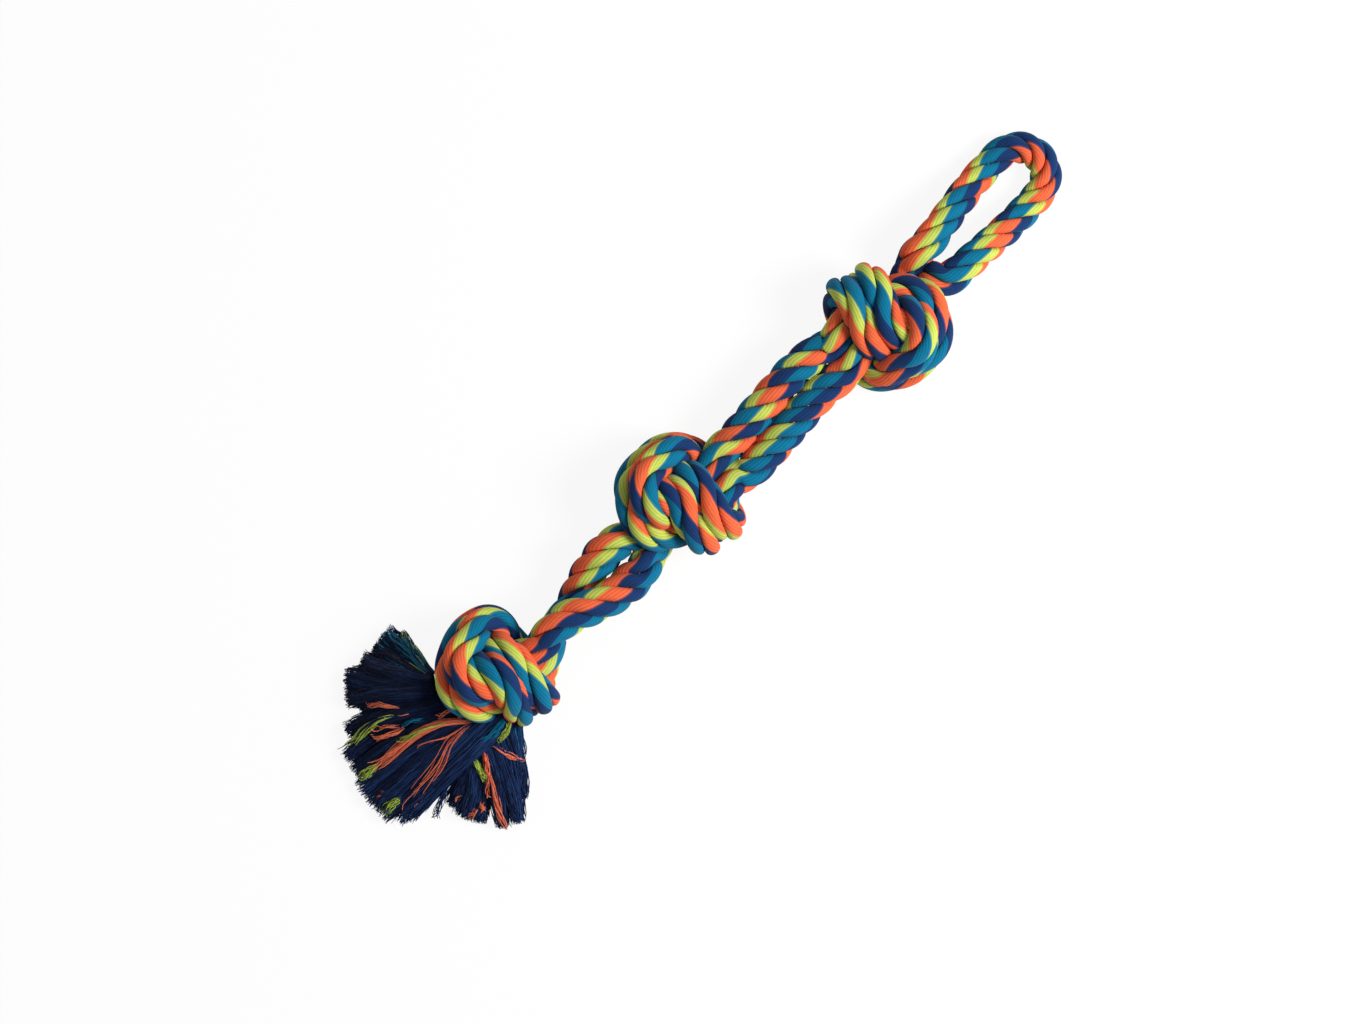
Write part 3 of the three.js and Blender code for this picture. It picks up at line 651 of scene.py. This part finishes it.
def rope_cotton(name):
    """The four colours round a strand, with a soft border from one to the next."""
    m, nodes, links, shader, uv, dye, blend = yarn_shader(name)
    apart = nodes.new("ShaderNodeSeparateXYZ")
    links.new(uv.outputs["UV"], apart.inputs["Vector"])
    fray = nodes.new("ShaderNodeMath")
    fray.operation = "MULTIPLY_ADD"
    fray.inputs[1].default_value = BORDER_FRAY
    links.new(dye.outputs["Fac"], fray.inputs[0])
    links.new(apart.outputs["X"], fray.inputs[2])
    back = nodes.new("ShaderNodeMath")
    back.operation = "SUBTRACT"
    back.inputs[1].default_value = BORDER_FRAY / 2
    links.new(fray.outputs[0], back.inputs[0])
    wrap = nodes.new("ShaderNodeMath")
    wrap.operation = "FRACT"
    links.new(back.outputs[0], wrap.inputs[0])
    ramp = nodes.new("ShaderNodeValToRGB")
    stops = ramp.color_ramp.elements
    shades = [np.array(linear(ROPE_COLOURS[c])) for c in COLOURS]
    edge = 0.5 * (shades[0] + shades[-1])
    wanted = [(0.0, edge)]
    for shade, begin, end in zip(shades, [0.0] + COLOUR_ENDS, COLOUR_ENDS):
        wanted += [(begin + BORDER, shade), (end - BORDER, shade)]
    wanted.append((1.0, edge))
    while len(stops) < len(wanted):
        stops.new(0.5)
    for stop, (at, shade) in zip(stops, wanted):
        stop.position = at
        stop.color = (*shade, 1)
    links.new(wrap.outputs[0], ramp.inputs["Fac"])
    tone = nodes.new("ShaderNodeMapRange")
    tone.inputs["From Min"].default_value = TEXTURE_RANGE[0]
    tone.inputs["From Max"].default_value = TEXTURE_RANGE[1]
    tone.inputs["To Min"].default_value = SHADE[0]
    tone.inputs["To Max"].default_value = SHADE[1]
    links.new(blend.outputs["Result"], tone.inputs["Value"])
    dyed = nodes.new("ShaderNodeVectorMath")
    dyed.operation = "SCALE"
    links.new(ramp.outputs["Color"], dyed.inputs["Vector"])
    links.new(tone.outputs["Result"], dyed.inputs["Scale"])
    links.new(dyed.outputs["Vector"], shader.inputs["Base Color"])
    return m


def yarn_cotton(name, dark, light):
    """Loose yarn of one colour, from its dark plies to its light ones."""
    m, nodes, links, shader, _, _, blend = yarn_shader(name)
    ramp = nodes.new("ShaderNodeValToRGB")
    ramp.color_ramp.elements[0].position = TEXTURE_RANGE[0]
    ramp.color_ramp.elements[0].color = (*linear(dark), 1)
    ramp.color_ramp.elements[1].position = TEXTURE_RANGE[1]
    ramp.color_ramp.elements[1].color = (*linear(light), 1)
    links.new(blend.outputs["Result"], ramp.inputs["Fac"])
    links.new(ramp.outputs["Color"], shader.inputs["Base Color"])
    return m


rope_materials = [rope_cotton("rope_cotton")]


def where(name, x, from_end):
    """Index on the rope at x within a section, looking from its start or from its end."""
    mine = indices(name)
    order = mine[::-1] if from_end else mine
    side = line[order, 0] > x
    return int(order[np.nonzero(side != side[0])[0][0]])


# Pieces of the rope, cut where it flexes
CUT_BACK = 0.013
SWING_CUT_BACK = 0.02
lower_mid = 0.5 * (lower_swing[0] + lower_bend[0])
upper_mid = 0.5 * (upper_bend[0] + upper_swing[0])
FRAY_BACK = 0.012


def flex(obj):
    """Bakes the transform of a piece into its mesh."""
    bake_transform(obj)


def dress(nodes):
    """Hides the solids that a piece of rope stands for."""
    if nodes:
        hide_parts(*nodes)


for leg, letter in enumerate("ab"):
    backwards = leg == 1
    cuts = [
        where(f"lower_knot_{letter}", lower_swing[0] - CUT_BACK, not backwards),
        where(f"lower_{letter}", lower_mid, backwards),
        where(f"middle_knot_{letter}", lower_bend[0] + CUT_BACK, backwards),
        where(f"middle_knot_{letter}", upper_bend[0] - CUT_BACK, not backwards),
        where(f"upper_{letter}", upper_mid, backwards),
        where(f"upper_knot_{letter}", upper_swing[0] + SWING_CUT_BACK, backwards),
        where(f"upper_knot_{letter}", handle_flop[0] - CUT_BACK, not backwards),
    ]
    end = count - 1 if backwards else 0
    frayed = int(FRAY_BACK / STEP)
    frayed = end - frayed if backwards else end + frayed
    bounds = [frayed] + cuts
    spans = [tuple(sorted(pair)) for pair in zip(bounds, bounds[1:])]
    if leg == 0:
        loop_first = cuts[-1]
    else:
        loop_last = cuts[-1]
    piece = rope_piece(f"rope_lower_knot_{letter}", *spans[0], rope_materials)
    dress([f"lower_knot_leg_{letter}"])
    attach(piece, "lower_knot")
    piece = rope_piece(f"rope_lower_swing_{letter}", *spans[1], rope_materials)
    dress([f"lower_rope_leg_{letter}"])
    flex(piece)
    piece = rope_piece(f"rope_lower_bend_{letter}", *spans[2], rope_materials)
    dress([])
    flex(piece)
    piece = rope_piece(f"rope_middle_knot_{letter}", *spans[3], rope_materials)
    dress([f"middle_knot_leg_{letter}"])
    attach(piece, "middle_knot")
    piece = rope_piece(f"rope_upper_bend_{letter}", *spans[4], rope_materials)
    dress([f"upper_rope_leg_{letter}"])
    flex(piece)
    piece = rope_piece(f"rope_upper_swing_{letter}", *spans[5], rope_materials)
    dress([])
    flex(piece)
    piece = rope_piece(f"rope_upper_knot_{letter}", *spans[6], rope_materials)
    dress([f"upper_knot_leg_{letter}"])
    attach(piece, "upper_knot")

handle = rope_piece("rope_handle", loop_first, loop_last, rope_materials)
dress(["handle_loop"])
flex(handle)

# Tassel: locks of loose yarn that come out from under the lower knot, in millimetres. A lock has
# the frayed end that it belongs to, four places on its way, its half-widths and its heights there,
# its number of yarns and its colours. A full lock has a core and yarns under it as well.
# Painted shade: the upper fan is mostly a darker copy of the navy yarn, which stands for the shade
# that it lies in.
NAVY_IN_SHADE = {"shaded_navy": 6, "navy": 2}
# Painted highlight and shade: the lower fan mixes lighter and darker copies of the navy yarn in with
# it, as lit and shaded streaks.
NAVY_LIT_AND_SHADED = {"navy": 6, "shaded_navy": 3, "lit_navy": 2}
NAVY = {"navy": 1}
CORAL = {"coral": 1}
LIME = {"lime": 1}
TEAL = {"teal": 1}
FULL, LOOSE = True, False
LOCKS = [
    ("a", [(-224, 34), (-223, 46), (-223, 57), (-222, 67)], (4, 3.5, 3, 2.5), (30, 24, 17, 8),
     60, {"shaded_navy": 2, "teal": 5, "lime": 4}, FULL),
    ("a", [(-224, 33), (-226, 48), (-227, 61), (-229, 73)], (5, 5, 5, 4), (33, 27, 19, 8),
     80, {"shaded_navy": 6, "teal": 4}, FULL),
    ("a", [(-225, 32), (-231, 48), (-236, 60), (-240, 70)], (6, 6, 5.5, 4.5), (36, 30, 20, 8),
     120, {"shaded_navy": 24, "teal": 1, "lime": 1}, FULL),
    ("a", [(-225, 31), (-236, 46), (-246, 58), (-252, 68)], (7, 7, 6.5, 5), (38, 35, 26, 10),
     140, NAVY_IN_SHADE, FULL),
    ("a", [(-225, 29), (-240, 43), (-254, 55), (-266, 66)], (7, 7, 7, 5.5), (38, 33, 22, 8),
     150, NAVY_IN_SHADE, FULL),
    ("a", [(-226, 26), (-243, 38), (-258, 48), (-273, 56)], (8, 7, 6.5, 5), (38, 36, 26, 10),
     140, NAVY_IN_SHADE, FULL),
    ("a", [(-226, 22), (-244, 32), (-260, 41), (-271, 46)], (8, 6, 5, 3.5), (36, 27, 16, 7),
     100, NAVY_IN_SHADE, FULL),
    ("a", [(-224, 17), (-245, 25), (-265, 34), (-285, 40)], (8, 6, 5.5, 4.5), (34, 28, 20, 9),
     120, NAVY_IN_SHADE, FULL),
    ("a", [(-223, 12), (-246, 20), (-272, 27), (-296, 28)], (8, 6, 6, 4.5), (32, 23, 15, 8),
     120, NAVY_IN_SHADE, FULL),
    ("a", [(-250, 31), (-256, 37), (-260, 41), (-265, 45)], (1, 1.5, 2, 1.5), (32, 30, 27, 21),
     14, CORAL, LOOSE),
    ("a", [(-256, 29), (-265, 33), (-277, 34), (-289, 33)], (1, 2, 2.5, 2), (25, 25, 21, 13),
     32, {"shaded_navy": 1, "lime": 6}, LOOSE),
    ("a", [(-243, 20), (-250, 24), (-253, 27), (-257, 30)], (1, 1, 1, 1), (28, 28, 27, 25),
     6, CORAL, LOOSE),
    ("a", [(-257, 21), (-263, 25), (-268, 28), (-273, 31)], (1, 1, 1, 1), (25, 24, 22, 19),
     5, CORAL, LOOSE),
    ("a", [(-256, 19), (-263, 20), (-269, 23), (-276, 26)], (1, 2, 2, 2), (25, 24, 22, 18),
     14, CORAL, LOOSE),
    ("a", [(-243, 15), (-248, 18), (-252, 20), (-256, 21)], (1, 1.5, 1.5, 1), (27, 28, 27, 24),
     12, TEAL, LOOSE),
    ("b", [(-222, 6), (-247, 12), (-272, 16), (-297, 18)], (8, 6.5, 6, 4.5), (30, 26, 19, 9),
     120, NAVY_IN_SHADE, FULL),
    ("b", [(-216, -3), (-246, 3), (-272, 5), (-301, 6)], (9, 7, 6.5, 5), (33, 27, 18, 8),
     150, NAVY_LIT_AND_SHADED, FULL),
    ("b", [(-208, -8), (-242, -6), (-270, -5), (-301, -5)], (10, 8, 7, 5), (36, 31, 22, 9),
     160, NAVY_LIT_AND_SHADED, FULL),
    ("b", [(-203, -11), (-238, -13), (-268, -14), (-300, -15)], (10, 8.5, 7, 5), (36, 30, 19, 8),
     160, NAVY_LIT_AND_SHADED, FULL),
    ("b", [(-200, -15), (-234, -18), (-264, -20), (-294, -23)], (9, 8, 6.5, 4.5), (36, 33, 21, 9),
     140, NAVY_LIT_AND_SHADED, FULL),
    ("b", [(-198, -19), (-230, -22), (-258, -23), (-288, -27)], (7, 5, 4, 3), (30, 26, 15, 7),
     90, NAVY_LIT_AND_SHADED, FULL),
    ("b", [(-284, 12), (-290, 12), (-295, 12), (-300, 12)], (2, 3.5, 4.5, 5), (12, 14, 12, 8),
     44, LIME, LOOSE),
    ("b", [(-290, -4), (-294, -4), (-297, -4), (-300, -4)], (2, 2, 2, 2), (12, 13, 12, 9),
     14, CORAL, LOOSE),
    ("b", [(-285, -14), (-291, -14), (-296, -14), (-302, -14)], (2, 3, 3.5, 4), (12, 14, 12, 8),
     36, LIME, LOOSE),
    ("b", [(-200, -17), (-208, -18), (-216, -19), (-224, -17)], (3, 4, 4, 3), (36, 38, 38, 33),
     40, TEAL, LOOSE),
    ("b", [(-197, -17), (-203, -21), (-209, -24), (-215, -25)], (2, 2.5, 2, 1), (32, 33, 32, 28),
     26, LIME, LOOSE),
    ("b", [(-252, -25), (-261, -28), (-270, -32), (-278, -37)], (2, 1.5, 1.3, 1), (14, 11, 9, 6),
     14, NAVY, LOOSE),
    ("b", [(-250, -24), (-258, -26), (-264, -27), (-270, -27)], (2, 1.5, 1.3, 1), (14, 11, 9, 6),
     8, NAVY, LOOSE),
    ("b", [(-226, -18), (-242, -28), (-254, -34), (-265, -39)], (8, 6.5, 5.5, 4), (20, 17, 14, 8),
     120, NAVY_IN_SHADE, FULL),
    ("b", [(-224, -18), (-240, -31), (-252, -42), (-264, -48)], (8, 6.5, 5.5, 4), (20, 19, 16, 9),
     120, NAVY_LIT_AND_SHADED, FULL),
    ("b", [(-222, -18), (-237, -34), (-248, -47), (-258, -57)], (8, 6, 5, 3.5), (20, 16, 12, 7),
     110, NAVY_LIT_AND_SHADED, FULL),
    ("b", [(-222, -18), (-230, -38), (-240, -55), (-249, -68)], (8, 6, 5, 3), (22, 20, 15, 8),
     110, NAVY_LIT_AND_SHADED, FULL),
    ("b", [(-215, -18), (-222, -38), (-231, -56), (-239, -72)], (9, 7, 6, 3.5), (23, 22, 17, 8),
     130, NAVY_LIT_AND_SHADED, FULL),
    ("b", [(-205, -18), (-213, -36), (-220, -49), (-228, -62)], (8, 5.5, 5, 3.5), (22, 18, 13, 7),
     110, NAVY_LIT_AND_SHADED, FULL),
    ("b", [(-199, -22), (-205, -30), (-210, -37), (-216, -45)], (5, 4, 4, 3), (20, 17, 13, 8),
     60, {"navy": 4, "teal": 1}, FULL),
    ("b", [(-254, -50), (-257, -51), (-260, -51), (-263, -52)], (1.5, 1.5, 1.5, 1.5), (15, 15, 13, 9),
     8, CORAL, LOOSE),
    ("b", [(-249, -49), (-251, -51), (-252, -53), (-253, -55)], (1.5, 1.5, 1.5, 1.5), (15, 15, 13, 10),
     8, CORAL, LOOSE),
    ("b", [(-256, -37), (-259, -37), (-261, -37), (-263, -37)], (1.5, 1.5, 1.5, 1.5), (15, 15, 13, 9),
     6, CORAL, LOOSE),
    ("b", [(-235, -24), (-236, -29), (-237, -34), (-238, -39)], (3, 3, 2.5, 1.5), (21, 22, 21, 19),
     40, LIME, LOOSE),
    ("b", [(-227, -24), (-229, -29), (-232, -34), (-235, -39)], (2.5, 2.5, 2, 1), (23, 24, 23, 20),
     30, CORAL, LOOSE),
    ("b", [(-220, -25), (-218, -32), (-216, -38), (-213, -45)], (1.5, 2, 2, 1.5), (24, 24, 21, 15),
     26, CORAL, LOOSE),
    ("b", [(-232, -34), (-237, -46), (-243, -58), (-248, -70)], (1, 2, 2.5, 2), (22, 21, 17, 10),
     14, CORAL, LOOSE),
    ("b", [(-233, -38), (-237, -41), (-241, -45), (-243, -49)], (1, 1, 1, 1), (22, 22, 20, 18),
     5, CORAL, LOOSE),
    ("b", [(-220, -5), (-234, 5), (-254, 11), (-282, 12)], (2.5, 3, 3.5, 4), (39, 34, 29, 18),
     60, CORAL, LOOSE),
    ("b", [(-232, 4), (-243, 9), (-254, 12), (-264, 14)], (1, 2, 2, 1.5), (36, 34, 30, 25),
     20, LIME, LOOSE),
    ("b", [(-221, -5), (-236, -3), (-246, 1), (-257, 3)], (1, 2, 2.5, 2.5), (39, 35, 31, 25),
     7, CORAL, LOOSE),
    ("b", [(-221, -5), (-240, -5), (-258, -12), (-285, -18)], (1, 4, 4, 2.5), (39, 35, 29, 15),
     9, CORAL, LOOSE),
    ("b", [(-221, -6), (-238, -8), (-254, -15), (-280, -21)], (1, 3, 3, 2), (39, 35, 28, 15),
     6, CORAL, LOOSE),
    ("b", [(-203, 0), (-208, 2), (-213, 5), (-218, 6)], (1, 2, 2, 1), (36, 37, 37, 35),
     14, LIME, LOOSE),
    ("b", [(-214, 5), (-221, 7), (-228, 9), (-235, 11)], (1, 2, 2, 1), (36, 37, 36, 32),
     16, CORAL, LOOSE),
]
# Two navy entries are copies of the navy yarn: the darkest is painted shade, and the lightest is a
# painted highlight.
YARN_COLOURS = {
    "shaded_navy": ((5, 12, 34), (18, 36, 76)),
    "navy": ((12, 28, 66), (32, 62, 116)),
    "lit_navy": ((22, 46, 92), (46, 82, 138)),
    "teal": ((0, 80, 116), (20, 136, 176)),
    "lime": ((140, 164, 50), (200, 220, 100)),
    "coral": ((232, 96, 62), (255, 150, 114)),
}
YARN_RADIUS = 0.00035
LOOSE_YARN_RADIUS = 0.0004
YARN_SIDES = 3
YARN_RINGS = 9
YARN_DENSITY = 1.7
YARN_SEED = 7
UNDER_SEED = 8
YARN_FLOOR = 0.0005
RAGGED = 0.27
LOOSE_RAGGED = 0.45
WOBBLE = 0.0016
DRIFT = 0.25
TOP_LAYER = 0.25
LOCK_PLACES = 3
LOCK_BOTTOMS = (0.5, 0.3, 0.1, 0.05)
TIP_REACH = 0.3
DOME = 0.85
SWAY_RATE = 2.2
LIFT_RATE = 2.6
TAPER_AT = (0, 0.2, 0.85, 1)
TAPER = (0.4, 1, 1, 0.5)
THICKNESS_SPREAD = (0.7, 1.3)
CORE_SHARE = 0.86
CORE_LOW = 0.3
UNDER_SHARE = 0.4
UNDER_GAP = 0.0006
CORE_END = 2.75
CORE_SIDES = 12
CORE_CLOSING = 0.5
CORE_TIP = 0.3
LATE_START = 0.6


def lock_line(places, t):
    """Places and sideways directions of a lock at t, counted in its four places."""
    flat = np.array(places) * MM
    flat = np.vstack([flat, flat[-1] + TIP_REACH * (flat[-1] - flat[-2])])
    curve = catmull(np.column_stack([flat, np.zeros(len(flat))]))[:, :2]
    share = np.linspace(0, len(flat) - 1, len(curve))
    slope = np.gradient(curve, axis=0)
    slope /= np.linalg.norm(slope, axis=1, keepdims=True)
    middle = np.stack([np.interp(t, share, curve[:, i]) for i in range(2)], axis=-1)
    side = np.stack([np.interp(t, share, -slope[:, 1]), np.interp(t, share, slope[:, 0])], axis=-1)
    return middle, side


def lock_section(t, widths, tops):
    """Half-width, bottom and top of a lock at t."""
    at = range(LOCK_PLACES + 1)
    width = np.interp(t, at, np.array(widths) * MM)
    top = np.interp(t, at, np.array(tops) * MM)
    return width, top * np.interp(t, at, LOCK_BOTTOMS), top


def tubes_about(centre, thick, sides):
    """Rings of a round tube about each line of centres: (lines, rings, sides, 3)."""
    tangent = np.gradient(centre, axis=1)
    tangent /= np.linalg.norm(tangent, axis=2, keepdims=True)
    right = np.cross(tangent, np.array([0, 0, 1.0]))
    right /= np.linalg.norm(right, axis=2, keepdims=True)
    above = np.cross(right, tangent)
    a = np.arange(sides) / sides * 2 * math.pi
    ring = np.cos(a)[:, None] * right[:, :, None] + np.sin(a)[:, None] * above[:, :, None]
    return centre[:, :, None] + thick[..., None, None] * ring


def lock_yarns(rng, places, widths, tops, n_yarns, full, under=False):
    """Rings of the yarns on top of one lock, or under it: (yarns, rings, sides, 3)."""
    ragged = RAGGED if full else LOOSE_RAGGED
    reach = LOCK_PLACES + np.clip(rng.normal(0, ragged, n_yarns), -3 * ragged, 2 * ragged)
    begin = rng.uniform(0, 0 if full else LATE_START, n_yarns)
    way = np.linspace(0, 1, YARN_RINGS)[None, :]
    t = begin[:, None] + way * (reach - begin)[:, None]
    middle, side = lock_line(places, t)
    width, bottom, top = lock_section(t, widths, tops)
    lateral = rng.uniform(-1, 1, n_yarns)[:, None]
    lateral = lateral + DRIFT * rng.normal(0, 1, n_yarns)[:, None] * t / LOCK_PLACES
    level = 1 - TOP_LAYER * rng.uniform(0, 1, n_yarns)[:, None] ** 2
    dome = np.sqrt(1 - DOME * np.clip(lateral, -1, 1) ** 2)
    beat = rng.uniform(0, 2 * math.pi, (2, n_yarns))[..., None]
    sway = WOBBLE * t / LOCK_PLACES * np.sin(SWAY_RATE * t + beat[0])
    lift = WOBBLE * t / LOCK_PLACES * np.sin(LIFT_RATE * t + beat[1])
    flat = middle + (lateral * width + sway)[..., None] * side
    if under:
        low = CORE_LOW * bottom
        z = low + CORE_SHARE * (top - low) * 0.5 * (1 - dome) - UNDER_GAP + lift
    else:
        z = bottom + level * dome * (top - bottom) + lift
    centre = np.concatenate([flat, np.maximum(z, YARN_FLOOR)[..., None]], axis=-1)
    radius = YARN_RADIUS if full else LOOSE_YARN_RADIUS
    thick = radius * rng.uniform(*THICKNESS_SPREAD, n_yarns)[:, None]
    return tubes_about(centre, thick * np.interp(way, TAPER_AT, TAPER), YARN_SIDES)


def lock_core(places, widths, tops):
    """Rings of the full inside of one lock: (rings, sides, 3)."""
    t = np.linspace(0, CORE_END, YARN_RINGS)
    middle, side = lock_line(places, t)
    width, bottom, top = lock_section(t, widths, tops)
    closed = np.interp(t, [0, CORE_END - CORE_CLOSING, CORE_END], [1, 1, CORE_TIP]) * CORE_SHARE
    a = np.arange(CORE_SIDES) / CORE_SIDES * 2 * math.pi
    reach = (closed * width)[:, None] * np.cos(a)[None, :]
    flat = middle[:, None] + reach[..., None] * side[:, None]
    low = CORE_LOW * bottom
    z = low[:, None] + (closed * (top - low))[:, None] * (0.5 + 0.5 * np.sin(a))[None, :]
    return np.concatenate([flat, np.maximum(z, YARN_FLOOR)[..., None]], axis=-1)


yarn_names = list(YARN_COLOURS)
yarn_materials = [yarn_cotton(f"yarn_{c}", *shades) for c, shades in YARN_COLOURS.items()]
rng = np.random.default_rng(YARN_SEED)
under_rng = np.random.default_rng(UNDER_SEED)

# Place of each frayed end, its strands in the solids, and the way that its yarn runs
FRAYED = {
    "a": (line[0], range(1, 5), np.array([-0.7507, 0.6606, 0])),
    "b": (line[-1], range(5, 9), np.array([-0.8, -0.6, 0])),
}
faces = tube_faces(YARN_RINGS, YARN_SIDES, 0)
size_each = YARN_RINGS * YARN_SIDES
for letter, (place, strands, way) in FRAYED.items():
    points, quads, slots = [], [], []
    base = 0
    for end, places, widths, tops, n_yarns, shares, full in LOCKS:
        if end != letter:
            continue
        layers = [(round(n_yarns * YARN_DENSITY), False), (round(n_yarns * UNDER_SHARE), True)]
        colours = [yarn_names.index(c) for c in shares]
        weights = np.array(list(shares.values())) / sum(shares.values())
        for n, under in layers if full else [(n_yarns, False)]:
            draw = under_rng if under else rng
            yarns = lock_yarns(draw, places, widths, tops, n, full, under)
            points.append(yarns.reshape(-1, 3))
            starts = base + np.arange(n)[:, None, None] * size_each
            quads.append((faces[None] + starts).reshape(-1, 4))
            slots.append(np.repeat(draw.choice(colours, n, p=weights), len(faces)))
            base += n * size_each
        if full:
            core = lock_core(places, widths, tops)
            points.append(core.reshape(-1, 3))
            quads.append(tube_faces(YARN_RINGS, CORE_SIDES, base))
            slots.append(np.full(len(quads[-1]), colours[0]))
            base += YARN_RINGS * CORE_SIDES
    quads = np.concatenate(quads)
    uv = np.tile(np.array([[0, 0], [1, 0], [1, 1], [0, 1]], float), (len(quads), 1))
    yarn = mesh_object(f"tassel_{letter}_yarn", np.concatenate(points), quads,
                       np.concatenate(slots), uv, yarn_materials)
    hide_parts(*(f"tassel_strand_{i}" for i in strands))
    flex(yarn)

# Floor and light
FLOOR_HALF = 6
FLOOR_GREY = 0.95
FLOOR_ROUGHNESS = 0.9
WHITE_SHARE = 0.91
WORLD_LIGHT = 0.32
KEY_PLACE = Vector((1.1, -0.93, 1.47))
KEY_SIZE = 0.8
KEY_ENERGY = 49

floor_mesh = bpy.data.meshes.new("floor")
corners = [(-1, -1), (1, -1), (1, 1), (-1, 1)]
floor_mesh.from_pydata([(x * FLOOR_HALF, y * FLOOR_HALF, 0) for x, y in corners], [], [(0, 1, 2, 3)])
floor = bpy.data.objects.new("floor", floor_mesh)
scene.collection.objects.link(floor)
paper = bpy.data.materials.new("floor_paper")
paper.use_nodes = True
nodes, links = paper.node_tree.nodes, paper.node_tree.links
matt = nodes["Principled BSDF"]
matt.inputs["Base Color"].default_value = (FLOOR_GREY, FLOOR_GREY, FLOOR_GREY, 1)
matt.inputs["Roughness"].default_value = FLOOR_ROUGHNESS
white = nodes.new("ShaderNodeEmission")
white.inputs["Color"].default_value = (1, 1, 1, 1)
white.inputs["Strength"].default_value = 1.0
path = nodes.new("ShaderNodeLightPath")
seen = nodes.new("ShaderNodeMath")
seen.operation = "MULTIPLY"
seen.inputs[1].default_value = WHITE_SHARE
links.new(path.outputs["Is Camera Ray"], seen.inputs[0])
sheet = nodes.new("ShaderNodeMixShader")
links.new(seen.outputs[0], sheet.inputs["Fac"])
links.new(matt.outputs["BSDF"], sheet.inputs[1])
links.new(white.outputs["Emission"], sheet.inputs[2])
links.new(sheet.outputs["Shader"], nodes["Material Output"].inputs["Surface"])
floor_mesh.materials.append(paper)

world = bpy.data.worlds.new("studio")
scene.world = world
world.use_nodes = True
background = world.node_tree.nodes["Background"]
background.inputs["Color"].default_value = (1, 1, 1, 1)
background.inputs["Strength"].default_value = WORLD_LIGHT

key_data = bpy.data.lights.new("key", "AREA")
key_data.size = KEY_SIZE
key_data.energy = KEY_ENERGY
key = bpy.data.objects.new("key", key_data)
scene.collection.objects.link(key)
key.location = KEY_PLACE
key.rotation_euler = (-KEY_PLACE).to_track_quat("-Z", "Y").to_euler()

scene.view_settings.view_transform = "Standard"
